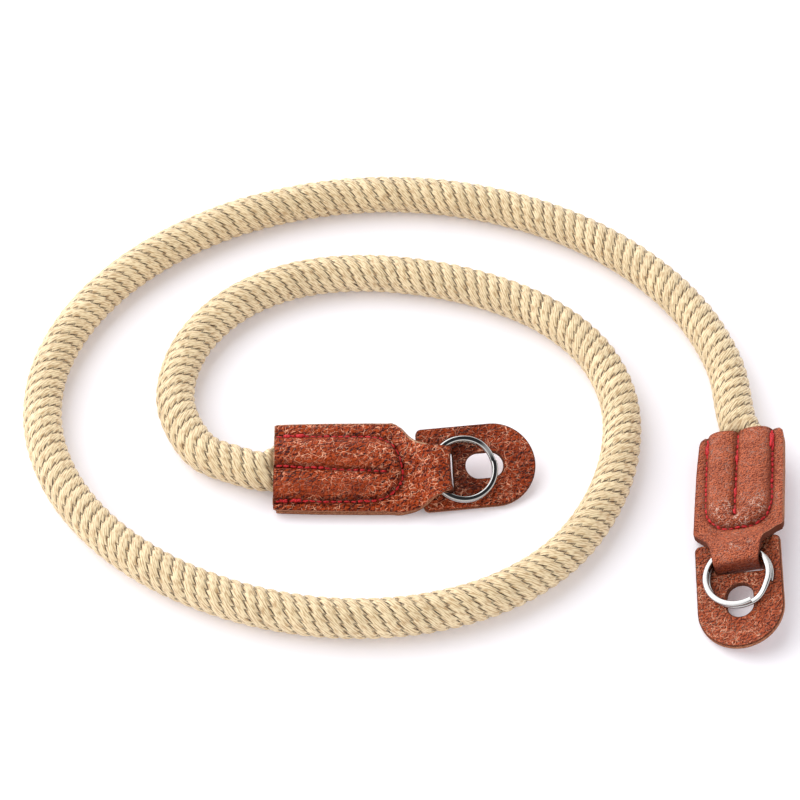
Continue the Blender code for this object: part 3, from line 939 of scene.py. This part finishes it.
def give_thickness(made, thickness, rim_finish):
    """Leather thickness inwards, a rim with its own finish, and a softened edge."""
    wall = made.modifiers.new("thickness", "SOLIDIFY")
    wall.thickness = thickness * MM
    wall.offset = -1.0
    wall.use_quality_normals = True
    wall.material_offset = rim_finish
    wall.material_offset_rim = rim_finish
    soft = made.modifiers.new("soft_edge", "BEVEL")
    soft.limit_method = "ANGLE"
    soft.angle_limit = RIM_ANGLE
    soft.width = RIM_ROUND * MM
    soft.segments = 2
    soft.profile = 0.5
    soft.material = rim_finish


cover_meshes = {end: fold_cover(end) for end in ENDS}
print("folded covers:", [len(mesh.polygons) for mesh in cover_meshes.values()], "faces")

# %% [markdown]
# ## The leather's finish
#
# The leather is grained, and its small marks are what the eye takes for leather. Creases part
# the pebbles of the grain, longer wrinkles cross them, fine pits cover everything, and a few
# spots glint. Cells of random size (Voronoi) give the pebbles and the wrinkles, and the
# distance to a cell's edge gives the lines; clouds of noise give the pits and glints. A bump
# alone would be lost at this size, so the marks are mostly colour, with light painted in: the
# pale lines stand for cracked grain and for highlights on the pebbles' edges together, the
# glints are painted highlights, and a pit's two flanks are painted lit and shaded, as by a
# light from one side: the noise is read twice, a little apart, and the two are compared.
#
# The two ends are a shaded and a lit copy of one leather. End a mirrors the dark ceiling, and
# its tones are painted darker: glossy, with bright cracks on a dark ground. End b catches the
# key light, and its tones are painted lighter: matte, with fine pits in strong contrast. Object
# coordinates carry the pattern, since the grain is stamped into the hide before it is cut,
# and doesn't follow the piece.

# %% The marks of the grain
PEBBLE_SIZE = 1.45
CREASE = (0.012, 0.055)     # a crease's half width, as a share of a pebble: full, gone
WRINKLE_SIZE = (3.0, 1.4, 1.4)
WRINKLE = (0.01, 0.04)      # and a wrinkle's
WRINKLE_TURN = (0.0, 0.0, radians(52.0))
WARP = (0.0006, 0.0006, 0.0006)           # how far the lines are bent, in metres
GLINT_SIZE = 0.42
GLINT = (0.62, 0.70)
GLINT_CLOUDS = (0.46, 0.60)
LIT_FLANK_OFFSET = (-0.00012, 0.00016, 0.00005)     # towards the flanks that are painted lit, in metres


def draw_grain(mix, place):
    """Distances to the edges of the pebbles and of the longer wrinkles."""
    warp = mix.add("TexNoise", {"Vector": place, "Scale": 450.0, "Detail": 1.0}).outputs["Color"]
    bent = mix.add("VectorMath", {0: warp, 1: WARP}, operation="MULTIPLY").outputs[0]
    grain = mix.add("VectorMath", {0: place, 1: bent}, operation="ADD").outputs[0]
    stretch = {"Rotation": WRINKLE_TURN, "Scale": [1.0 / (size * MM) for size in WRINKLE_SIZE]}
    drawn = mix.add("Mapping", {"Vector": grain, **stretch}).outputs[0]
    return mix.cells(grain, 1.0 / (PEBBLE_SIZE * MM)), mix.cells(drawn, 1.0)


def find_glints(mix, place, cloud):
    """Small painted highlights, in some of the clouds."""
    dots = mix.noise(place, 1.0 / (GLINT_SIZE * MM), 1.0)
    return mix.times(mix.map(dots, *GLINT), mix.map(cloud, *GLINT_CLOUDS))


# %% Mixing leather
WORN_TONE = (0.55, 0.34, 0.21)
CREASE_PATCHES = (0.50, 0.63)
WRINKLE_PATCHES = (0.44, 0.60)
LINE_CLOUDS = (0.36, 0.6)
FAINT_LINES = 0.4           # share of the lines' strength outside those clouds
SMOOTH_MARKS = 0.2          # share of the pale marks where the grain isn't cracked
OIL_AND_SHADE_MARKS = 0.5           # share of them where the leather is oiled, and where it is painted in shade
FLANK_GAIN = 5.0            # two readings of the noise, so close together, differ little
PIT_FLANKS = (0.65, 2.2)    # how strong the pits' painted flank light is, on smooth and on cracked grain
HIDE_CLOUDS = (0.3, 0.7)
HIDE_SHADES = (0.35, 0.85)  # the hide's own shade, from deep (0) to light (1)
PIT_SHADES = (0.25, -0.35)  # the shades at which the pits' tone sets in and is full
PIT_SHARE, OIL_AND_SHADE_SHARE, SEAM_SHADE_SHARE, RIM_SHARE = 0.9, 0.75, 0.7, 0.5    # of the pits' tone
PEBBLE_ROUND = 0.2          # how far from its edge a pebble is flat, as a share of it
PIT_RISE = 1.4              # the pits' share of the relief, where the pebbles' is 1
BRIGHT_GLOSS = 0.1          # how much less rough a pale mark is


def mix_leather(
    name, tones, crack_and_highlight_lines, wrinkles, glints, contrast, pit_size, fineness, roughness, relief, shine
):
    """Grained leather, from four tones and how strong and large its marks are."""
    pit_tone, deep, light, crack_and_highlight_tone = tones
    mix = Finish(name)
    place = mix.add("TexCoord").outputs["Object"]
    beside = mix.add("VectorMath", {0: place, 1: LIT_FLANK_OFFSET}, operation="ADD").outputs[0]
    seam, rim, worn, cracks_and_highlights, oil_and_shade = (
        mix.add("Attribute", attribute_name=share).outputs["Fac"]
        for share in ("seam", "rim", "worn", "cracks_and_highlights", "oil_and_shade"))
    pebble, wrinkle = draw_grain(mix, place)
    pits = mix.noise(place, 1.0 / (pit_size * MM), fineness, 0.6)
    pits_toward_light = mix.noise(beside, 1.0 / (pit_size * MM), fineness, 0.6)
    cloud = mix.noise(place, 130.0, 2.0, 0.6)

    # Pale marks, which stand for cracks and painted highlights together: creases round the pebbles, longer
    # wrinkles across them, and small painted glints.
    patch = mix.map(mix.noise(place, 700.0, 1.0), *CREASE_PATCHES)
    other_patch = mix.map(mix.noise(beside, 520.0, 1.0), *WRINKLE_PATCHES)
    creases = mix.times(mix.map(pebble, *CREASE, 1.0, 0.0), patch)
    folds = mix.times(mix.map(wrinkle, *WRINKLE, 1.0, 0.0), other_patch)
    lines = mix.math("MAXIMUM", creases, folds)
    lines = mix.times(lines, mix.map(cloud, *LINE_CLOUDS, FAINT_LINES * crack_and_highlight_lines, crack_and_highlight_lines))
    glint = mix.times(find_glints(mix, place, cloud), glints)
    bright = mix.math("MAXIMUM", lines, glint)
    bright = mix.times(bright, mix.between(cracks_and_highlights, SMOOTH_MARKS, 1.0))
    bright = mix.times(bright, mix.between(oil_and_shade, 1.0, OIL_AND_SHADE_MARKS))

    # The hide's tone, with painted light: each pit is painted shaded on one flank and lit on the other.
    painted_flank_light = mix.times(mix.minus(pits_toward_light, pits), FLANK_GAIN * contrast)
    painted_flank_light = mix.times(painted_flank_light, mix.between(cracks_and_highlights, *PIT_FLANKS))
    shade = mix.plus(painted_flank_light, mix.map(cloud, *HIDE_CLOUDS, *HIDE_SHADES))
    base = mix.mix(mix.between(shade, 0.0, 1.0), deep, light)
    base = mix.mix(mix.map(shade, *PIT_SHADES, 0.0, PIT_SHARE, "LINEAR"), base, pit_tone)
    base = mix.mix(mix.times(folds, wrinkles), base, pit_tone)
    base = mix.mix(mix.times(oil_and_shade, OIL_AND_SHADE_SHARE), base, pit_tone)
    colour = mix.mix(bright, base, crack_and_highlight_tone)
    # Painted shade along the seams and on the fold's turn, and a darker tone towards the rim.
    colour = mix.mix(mix.times(seam, SEAM_SHADE_SHARE), colour, pit_tone)
    colour = mix.mix(mix.map(rim, 0.0, 1.0, 0.0, RIM_SHARE), colour, pit_tone)
    colour = mix.mix(worn, colour, WORN_TONE)
    height = mix.plus(mix.map(pebble, 0.0, PEBBLE_ROUND), mix.times(pits, PIT_RISE))
    return mix.finish(
        Base_Color=colour, Roughness=mix.map(bright, 0.0, 1.0, roughness, roughness - BRIGHT_GLOSS),
        Normal=mix.bump(height, relief * MM), Specular_IOR_Level=shine)


# %% The four leathers
# The tones are those of a pit, the deep and the light ground, and a crack, which is also the
# tone of the painted highlights. Then come how strong each mark is, the pits' size in
# millimetres and how finely they are broken up, and the surface: its roughness, the depth of
# its relief in millimetres and how much it mirrors.
LEATHERS = {
    "glossy_cover": {
        "tones": ((0.028, 0.002, 0.001), (0.107, 0.008, 0.002), (0.39, 0.056, 0.010), (0.89, 0.42, 0.26)),
        "crack_and_highlight_lines": 1.15, "wrinkles": 0.0, "glints": 0.6, "contrast": 0.7,
        "pit_size": 1.0, "fineness": 1.0, "roughness": 0.34, "relief": 0.38, "shine": 0.14,
    },
    "glossy_plate": {
        "tones": ((0.025, 0.002, 0.001), (0.095, 0.009, 0.002), (0.36, 0.053, 0.012), (0.86, 0.41, 0.26)),
        "crack_and_highlight_lines": 1.25, "wrinkles": 0.0, "glints": 0.7, "contrast": 0.72,
        "pit_size": 0.9, "fineness": 1.0, "roughness": 0.34, "relief": 0.36, "shine": 0.14,
    },
    "lit_matte_cover": {
        "tones": ((0.10, 0.012, 0.004), (0.275, 0.051, 0.020), (0.465, 0.118, 0.051), (0.98, 0.70, 0.56)),
        "crack_and_highlight_lines": 0.8, "wrinkles": 0.8, "glints": 1.0, "contrast": 4.6,
        "pit_size": 0.42, "fineness": 2.0, "roughness": 0.48, "relief": 0.15, "shine": 0.16,
    },
    "lit_matte_plate": {
        "tones": ((0.06, 0.008, 0.003), (0.20, 0.030, 0.009), (0.38, 0.073, 0.023), (0.84, 0.46, 0.30)),
        "crack_and_highlight_lines": 0.72, "wrinkles": 0.0, "glints": 0.8, "contrast": 1.6,
        "pit_size": 0.6, "fineness": 2.0, "roughness": 0.44, "relief": 0.24, "shine": 0.18,
    },
}
# End a gets the shaded copy of the leather, end b the lit one.
LOOKS = {"a": "glossy", "b": "lit_matte"}
leathers = {name: mix_leather(name + "_leather", **marks) for name, marks in LEATHERS.items()}
print("leathers:", sorted(leathers))

# %% [markdown]
# ## The cut edge
#
# Where the hide was cut, its fibres show: rough, pale and without a shine. Towards the fold a
# cover's edge is painted in shade, which is one more share on its points, and a protector's
# openings and rounded rims get a darker copy, painted shade. Both edges are one short tree,
# with two pairs of tones.

# %% Mixing the cut edge, and the covers
RIM_SHADED = (0.09, 0.02, 0.008)
FIBRE_ENDS = (0.38, 0.60)
FIBRE_RELIEF = 0.15


def mix_cut_edge(name, light, deep):
    """The rough rim where the hide was cut."""
    mix = Finish(name)
    fibre = mix.noise(mix.add("TexCoord").outputs["Object"], 2600.0, 3.0, 0.7)
    shaded = mix.add("Attribute", attribute_name="shaded").outputs["Fac"]
    colour = mix.mix(mix.map(fibre, *FIBRE_ENDS), deep, light)
    colour = mix.mix(shaded, colour, RIM_SHADED)
    return mix.finish(
        Base_Color=colour, Roughness=0.9, Normal=mix.bump(fibre, FIBRE_RELIEF * MM),
        Specular_IOR_Level=0.2)


cut_edge = mix_cut_edge("cut_edge", (0.38, 0.165, 0.085), (0.18, 0.055, 0.025))
# A darker copy of the cut edge: painted shade in the plate's openings and on its rims.
edge_painted_shade = mix_cut_edge("edge_painted_shade", (0.16, 0.046, 0.022), (0.055, 0.014, 0.007))

for end in ENDS:
    cover = piece(
        "stitched_cover_" + end, cover_meshes[end], "strap", "cover_leather",
        leathers[LOOKS[end] + "_cover"], cut_edge)
    give_thickness(cover, LEATHER, CUT_SIDE)
    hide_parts("leather_cover_" + end)

# %% [markdown]
# ## The seam's thread
#
# Thick red thread shows as a row of short grains, each sinking into the leather at both of
# its ends. One stitch is a stretched ball, so a seam is a loop that walks along the seam
# line and lays a ball between every two holes. Where a seam starts at the mouth it is
# sewn back and forth, which leaves a thicker knot of thread.

# %% Stitches
STITCH = 1.75               # from one hole to the next
STITCH_GAP = 0.22           # hidden in a hole
THREAD = 0.74               # thickness
THREAD_UNEVEN = (0.72, 1.15)    # between which shares of it the thickness varies
LIFT_UNEVEN = (0.05, 0.28)  # how far a stitch stands off the leather, as shares of its thickness
UNEVEN = 0.12               # how far the needle went beside the line
SEWING_SEED = 11
# Where the thread is sewn over itself: seam, distance from the mouth, length, thickness.
KNOTS = {
    "a": (
        ("left", 3.4, 1.9, 1.2), ("left", 6.6, 2.0, 1.5),
        ("right", 6.0, 2.0, 1.1), ("right", 2.6, 1.6, 0.8),
    ),
    "b": (
        ("left", 4.2, 5.2, 1.35), ("right", 4.3, 3.6, 1.5), ("centre", 9.0, 2.4, 1.1),
        ("centre", 19.7, 2.4, 1.0), ("centre", 26.0, 1.8, 1.0),
    ),
}
KNOT_SHARE = 0.75           # one of a knot's three stitches, as a share of its thickness
KNOT_LEAN = 0.22            # how far each one leans, as a share of that thickness
KNOT_STAGGER = 0.2          # how far each one starts past the one before
KNOT_LIFT = 0.22


def lay_stitch(bm, start, stop, thickness, lift):
    """One stretched ball between two points."""
    run = stop - start
    turn = run.to_track_quat("X", "Z").to_matrix().to_4x4()
    size = Matrix.Diagonal((run.length / 2.0, thickness / 2.0, thickness / 2.0, 1.0))
    place = Matrix.Translation((start + stop) / 2.0 + Vector((0.0, 0.0, thickness * lift)))
    bmesh.ops.create_uvsphere(bm, u_segments=12, v_segments=8, radius=1.0, matrix=place @ turn @ size)


def tie_knot(bm, end, seam, along, length, thickness):
    """Three stitches side by side, that cross each other a little."""
    across = read_off(centre_seam(end), along) if seam == "centre" else SEAMS[end][seam]
    for turn in (-1.0, 0.0, 1.0):
        lean = KNOT_LEAN * thickness * turn
        start = cover_surface(end, along - length / 2.0 + KNOT_STAGGER * turn, across - lean)
        stop = cover_surface(end, along + length / 2.0 + KNOT_STAGGER * turn, across + lean)
        lay_stitch(bm, start, stop, thickness * KNOT_SHARE, KNOT_LIFT)


def sew(end):
    """All the thread of one cover, in one mesh, as uneven as hand sewing is."""
    bm = bmesh.new()
    hand = np.random.default_rng(SEWING_SEED)
    for line in (outer_seam(end), centre_seam(end)):
        for side in (1.0, -1.0):
            holes = walk_line(line, STITCH)
            holes = holes + hand.uniform(-UNEVEN, UNEVEN, holes.shape)
            holes = [cover_surface(end, *hole, side) for hole in holes]
            for start, stop in zip(holes, holes[1:]):
                run = (stop - start).normalized() * STITCH_GAP / 2.0
                thickness = THREAD * hand.uniform(*THREAD_UNEVEN)
                lay_stitch(bm, start + run, stop - run, thickness, hand.uniform(*LIFT_UNEVEN) * side)
    for knot in KNOTS[end]:
        tie_knot(bm, end, *knot)
    return placed_mesh(bm, "seam_thread_" + end)


THREAD_TONES = ((0.28, 0.004, 0.007), (0.70, 0.022, 0.030))
TWIST = (0.35, 0.65)
TWIST_RELIEF = 0.12


def mix_thread():
    """Twisted red thread."""
    mix = Finish("red_thread")
    twist = mix.noise(mix.add("TexCoord").outputs["Object"], 3200.0, 2.0, 0.6)
    return mix.finish(
        Base_Color=mix.mix(mix.map(twist, *TWIST), *THREAD_TONES), Roughness=0.55,
        Normal=mix.bump(twist, TWIST_RELIEF * MM), Specular_IOR_Level=0.3)


red_thread = mix_thread()
for end in ENDS:
    piece("seam_thread_" + end, sew(end), "strap", "cover_leather", red_thread)

# %% [markdown]
# ## The lug protector
#
# A flat leather plate keeps the ring off the camera. It is punched from the hide in one
# stroke: outline, slit and hole together. The three outlines are filled as one face with two
# holes and extruded to the leather's thickness, and the rim gets a small bevel. A few cuts
# each way give it the points on which its marks are kept.

# %% The plate's outlines
PROTECTOR_LENGTH = 29.7
PROTECTOR_WIDTH = 21.6
PROTECTOR_THICKNESS = 1.5
PROTECTOR_CORNER = 1.5
SLIT = {
    "a": {"start": 6.5, "length": 1.9, "width": 10.6, "corner": 0.6},
    "b": {"start": 7.1, "length": 2.05, "width": 12.0, "corner": 0.6},
}
SLIT_TURN = {"a": -3.0, "b": -4.0}    # how far each slit was punched out of square, in degrees
SLIT_SIDE = {"a": -1.1, "b": 0.5}     # and to the side
HOLE = {
    "a": {"start": 11.8, "length": 9.7, "width": 6.7, "corner": 3.3},
    "b": {"start": 12.4, "length": 9.1, "width": 6.7, "corner": 3.3},
}
OPENINGS_MIDDLE = (14.0, 0.0)         # the box that holds the slit and the hole
OPENINGS_HALF = (8.5, 8.0)
CORNER_STEPS = 10
LARGE_CORNER = 5.0                    # a corner larger than this gets three times the steps


def rounded_outline(start, length, width, corner, nose=None):
    """Corner points of a flat shape along X, with round corners and a round nose."""
    nose = nose or corner
    end = start + length
    half = width / 2.0
    points = []
    for centre_x, centre_y, radius, turn in (
        (end - nose, half - nose, nose, 0.0),
        (start + corner, half - corner, corner, 90.0),
        (start + corner, corner - half, corner, 180.0),
        (end - nose, nose - half, nose, 270.0),
    ):
        steps = CORNER_STEPS * (3 if radius > LARGE_CORNER else 1)
        for i in range(steps + 1):
            angle = radians(turn + 90.0 * i / steps)
            points.append((centre_x + radius * cos(angle), centre_y + radius * sin(angle)))
    return points


def turned_slit(end):
    """The slit's outline, out of square and to the side as it was punched."""
    slit = SLIT[end]
    turn = Matrix.Rotation(radians(SLIT_TURN[end]), 2)
    middle = Vector((slit["start"] + slit["length"] / 2.0, 0.0))
    shift = middle + Vector((0.0, SLIT_SIDE[end]))
    return [turn @ (Vector(point) - middle) + shift for point in rounded_outline(**slit)]


print("hole of end a:", len(rounded_outline(**HOLE["a"])), "points")

# %% Punching the plate
CUT_SPACING = 0.9
PLATE_ROUND = 0.3
GAP_WELD = 0.01                       # joins the points at which two arcs meet
PLATE_PAINTED_SHADE = {"a": 0.85, "b": 0.15}        # painted shade of the ring and the neck, between the slit and the hole
UNDER_RING_ALONG = (5.5, 8.5, 13.0, 18.0)
UNDER_RING_HALF_WIDTH = (5.5, 8.0)
PLATE_CRACKS_AND_HIGHLIGHTS = 0.7                   # away from the ring and the neck


def draw_outline(bm, points):
    """A closed line of edges, lying at the plate's underside."""
    corners = [bm.verts.new((x, y, -PROTECTOR_THICKNESS / 2.0)) for x, y in points]
    return [bm.edges.new(pair) for pair in zip(corners, corners[1:] + corners[:1])]


def under_ring_share(x, y):
    """1 under the ring and the neck, and 0 away from there."""
    return float(band(x, *UNDER_RING_ALONG) * fade(abs(y), *UNDER_RING_HALF_WIDTH))


def side_of(face):
    """Which finish a face of the plate gets."""
    if abs(face.normal.z) > 0.5:
        return GRAIN_SIDE
    off = face.calc_center_median().xy - Vector(OPENINGS_MIDDLE)
    inner = abs(off.x) < OPENINGS_HALF[0] and abs(off.y) < OPENINGS_HALF[1]
    # Faces in the slit and the hole are painted in shade, the outer rim is not.
    return PAINTED_SHADE_SIDE if inner else CUT_SIDE


def cut_through(bm, place, direction):
    """Cut all faces along a plane."""
    everything = bm.verts[:] + bm.edges[:] + bm.faces[:]
    bmesh.ops.bisect_plane(bm, geom=everything, plane_co=place, plane_no=direction)


def punch_plate(end):
    """One protector, in its end's place."""
    bm = bmesh.new()
    half_width = PROTECTOR_WIDTH / 2.0
    draw_outline(bm, rounded_outline(0.0, PROTECTOR_LENGTH, PROTECTOR_WIDTH, PROTECTOR_CORNER, half_width))
    draw_outline(bm, turned_slit(end))
    draw_outline(bm, rounded_outline(**HOLE[end]))
    bmesh.ops.remove_doubles(bm, verts=bm.verts, dist=GAP_WELD)
    bmesh.ops.triangle_fill(bm, edges=bm.edges[:], use_beauty=True)
    grown = bmesh.ops.extrude_face_region(bm, geom=bm.faces[:])["geom"]
    top = [part for part in grown if isinstance(part, bmesh.types.BMVert)]
    bmesh.ops.translate(bm, verts=top, vec=(0.0, 0.0, PROTECTOR_THICKNESS))
    bmesh.ops.recalc_face_normals(bm, faces=bm.faces)
    for face in bm.faces:
        face.material_index = side_of(face)
    rim = [edge for edge in bm.edges if edge.calc_face_angle(0.0) > RIM_ANGLE]
    # The rounded rims are painted in shade as well.
    bmesh.ops.bevel(
        bm, geom=rim, offset=PLATE_ROUND, segments=3, profile=0.5, affect="EDGES", material=PAINTED_SHADE_SIDE)
    for x in np.arange(CUT_SPACING, PROTECTOR_LENGTH, CUT_SPACING):
        cut_through(bm, (x, 0, 0), (1, 0, 0))
    for y in np.arange(-half_width + CUT_SPACING, half_width, CUT_SPACING):
        cut_through(bm, (0, y, 0), (0, 1, 0))
    under_ring = np.array([under_ring_share(*vert.co.xy) for vert in bm.verts])
    mesh = placed_mesh(bm, "lug_plate_" + end, pose_matrix(ENDS[end]["protector"]))
    # Painted shade that the ring and the neck cast on the plate.
    keep_share(mesh, "oil_and_shade", PLATE_PAINTED_SHADE[end] * under_ring)
    keep_share(mesh, "cracks_and_highlights", PLATE_CRACKS_AND_HIGHLIGHTS + (1.0 - PLATE_CRACKS_AND_HIGHLIGHTS) * under_ring)
    return mesh


for end in ENDS:
    plate = piece(
        "lug_plate_" + end, punch_plate(end), "strap", "protector_leather",
        leathers[LOOKS[end] + "_plate"], cut_edge, edge_painted_shade)
    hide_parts("lug_protector_" + end)

# %% [markdown]
# ## The split ring
#
# A split ring is flat wire wound twice round, so its section is drawn once and spun about
# the ring's axis. A Screw modifier would climb all the way, but the real wire lies flat and
# climbs only in one short crossing. So the spin goes in small steps, and each step lifts the
# section by as much as the wire climbs there.

# %% Winding the ring
RING_DIAMETER = 17.3
RING_CENTRE = 11.05         # along the protector
WIRE_WIDTH = 1.5
WIRE_HEIGHT = 0.98
WIRE_CORNER = 0.47
RING_SEAT = 0.3             # between the ring and the protector
TURN_GAP = 0.12             # between the wire's two turns
CROSSING = 45.0             # degrees in which the wire climbs from one turn to the other
END_GAP = 2.0               # degrees from each wire end to the crossing
TURN_STEP = 1.25            # degrees of one step of the spin
SHARP_ANGLE = radians(50.0)


def wire_section(bm):
    """The edges of the wire's section, standing across the wire at the ring's radius."""
    made = bmesh.ops.create_grid(bm, x_segments=1, y_segments=1, size=0.5)
    bmesh.ops.scale(bm, verts=made["verts"], vec=(WIRE_WIDTH, WIRE_HEIGHT, 1.0))
    bmesh.ops.bevel(
        bm, geom=bm.verts[:], offset=WIRE_CORNER, segments=6, profile=0.5, affect="VERTICES", material=-1)
    bmesh.ops.rotate(bm, verts=bm.verts, cent=(0, 0, 0), matrix=Matrix.Rotation(radians(90.0), 3, "X"))
    bmesh.ops.translate(bm, verts=bm.verts, vec=((RING_DIAMETER - WIRE_WIDTH) / 2.0, 0.0, 0.0))
    bmesh.ops.delete(bm, geom=bm.faces[:], context="FACES_ONLY")
    return bm.verts[:] + bm.edges[:]


def turn_centres(end, angles):
    """The middle of the wire's turns at each angle: aside, and up where the wire crosses over."""
    climb = ENDS[end]["wire_end"] + 360.0
    turned = ease(angles, climb, climb + CROSSING)
    levels = (WIRE_HEIGHT + TURN_GAP) * (turned - 0.5)
    lower, upper = (np.array(place) for place in ENDS[end]["turns_at"])
    return np.column_stack((lower + np.outer(turned, upper - lower), levels))


def wind_ring(end):
    """A ring of two turns, in its end's place."""
    first = ENDS[end]["wire_end"] + CROSSING + END_GAP
    last = ENDS[end]["wire_end"] - END_GAP + 720.0
    steps = round((last - first) / TURN_STEP)
    angles = np.linspace(first, last, steps + 1)
    centres = turn_centres(end, angles)
    bm = bmesh.new()
    section = wire_section(bm)
    start = Matrix.Translation(centres[0]) @ Matrix.Rotation(radians(first), 4, "Z")
    bmesh.ops.transform(bm, matrix=start, verts=bm.verts)
    for centre, move in zip(centres, np.diff(centres, axis=0)):
        section = bmesh.ops.spin(
            bm, geom=section, cent=centre, axis=(0, 0, 1), dvec=move,
            angle=radians(angles[1] - angles[0]), steps=1, use_duplicate=False)["geom_last"]
    bmesh.ops.holes_fill(bm, edges=bm.edges, sides=0)
    bmesh.ops.recalc_face_normals(bm, faces=bm.faces)
    middle = PROTECTOR_THICKNESS / 2.0 + RING_SEAT + WIRE_HEIGHT + TURN_GAP / 2.0
    seat = Matrix.Translation((RING_CENTRE, ENDS[end]["slide"], middle))
    mesh = placed_mesh(bm, "wound_ring_" + end, pose_matrix(ENDS[end]["protector"]) @ seat)
    mesh.set_sharp_from_angle(angle=SHARP_ANGLE)
    return mesh


STEEL_TONE = (0.42, 0.415, 0.41)
STEEL_ROUGHNESS = (0.06, 0.14)    # where it is polished, and where it is handled
STEEL_RELIEF = 0.01


def mix_steel():
    """Steel that has been polished and a little handled."""
    mix = Finish("polished_steel")
    wear = mix.noise(mix.add("TexCoord").outputs["Object"], 700.0, 3.0, 0.6)
    return mix.finish(
        Base_Color=STEEL_TONE, Metallic=1.0, Roughness=mix.map(wear, 0.3, 0.7, *STEEL_ROUGHNESS),
        Normal=mix.bump(wear, STEEL_RELIEF * MM))


polished_steel = mix_steel()
for end in ENDS:
    ring = piece("wound_ring_" + end, wind_ring(end), "ring_" + end, "ring_steel", polished_steel)
    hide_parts("split_ring_" + end)

# %% [markdown]
# ## The studio
#
# The rings tell how the strap was lit. The one that lies flat mirrors a dark ceiling between
# bright rims, and the other one, which leans to the left and back, is white all over. So one
# broad soft light stands at the left and behind, the room is bright near the horizon, and
# the ceiling is darker. The floor is plain and pale, and it glows faintly though it is no
# lamp, which lifts its shadows and lights the strap a little from below.

# %% Floor and light
FLOOR_SIZE = 6000.0
FLOOR_COLOUR = (0.94, 0.925, 0.97)
FLOOR_GLOW = (0.98, 0.93, 1.0)
FLOOR_GLOW_STRENGTH = 0.07
KEY_TOWARDS = (-0.62, 0.36, 0.70)
KEY_AIM = (-33.0, 40.0, 0.0)
KEY_DISTANCE = 900.0
KEY_SIZE = 1500.0
KEY_POWER = 14.0
ROOM_TONES = ((1.0, 0.99, 0.985, 1.0), (0.03, 0.03, 0.032, 1.0))    # horizon, ceiling
ROOM_HEIGHTS = (0.45, 0.93)                                         # where each begins
ROOM_STRENGTH = 1.55


def lay_floor():
    """A plain pale floor, which is stage and no part of the strap."""
    bm = bmesh.new()
    bmesh.ops.create_grid(bm, x_segments=1, y_segments=1, size=FLOOR_SIZE / 2.0)
    mesh = placed_mesh(bm, "floor")
    pale = Finish("floor").finish(
        Base_Color=FLOOR_COLOUR, Roughness=0.9, Specular_IOR_Level=0.1,
        Emission_Color=FLOOR_GLOW, Emission_Strength=FLOOR_GLOW_STRENGTH)
    mesh.materials.append(pale)
    floor = bpy.data.objects.new("floor", mesh)
    bpy.context.scene.collection.objects.link(floor)


def hang_key_light():
    """A square soft light that looks at the strap."""
    light = bpy.data.lights.new("key", "AREA")
    light.size = KEY_SIZE * MM
    light.energy = KEY_POWER
    lamp = bpy.data.objects.new("key", light)
    direction = Vector(KEY_TOWARDS).normalized()
    lamp.location = (Vector(KEY_AIM) + direction * KEY_DISTANCE) * MM
    lamp.rotation_euler = direction.to_track_quat("Z", "Y").to_euler()
    bpy.context.scene.collection.objects.link(lamp)


def light_room():
    """A room that is bright near the horizon and darker overhead."""
    world = bpy.data.worlds.new("room")
    bpy.context.scene.world = world
    world.use_nodes = True
    nodes = world.node_tree.nodes
    links = world.node_tree.links
    place = nodes.new("ShaderNodeTexCoord")
    parts = nodes.new("ShaderNodeSeparateXYZ")
    ramp = nodes.new("ShaderNodeValToRGB")
    ramp.color_ramp.interpolation = "EASE"
    for stop, height, tone in zip(ramp.color_ramp.elements, ROOM_HEIGHTS, ROOM_TONES):
        stop.position = height
        stop.color = tone
    links.new(place.outputs["Generated"], parts.inputs[0])
    links.new(parts.outputs[2], ramp.inputs[0])
    links.new(ramp.outputs[0], nodes["Background"].inputs[0])
    nodes["Background"].inputs[1].default_value = ROOM_STRENGTH


bpy.context.scene.view_settings.view_transform = "Standard"
lay_floor()
light_room()
hang_key_light()
print("room strength", ROOM_STRENGTH, "and key light of", KEY_POWER, "W")
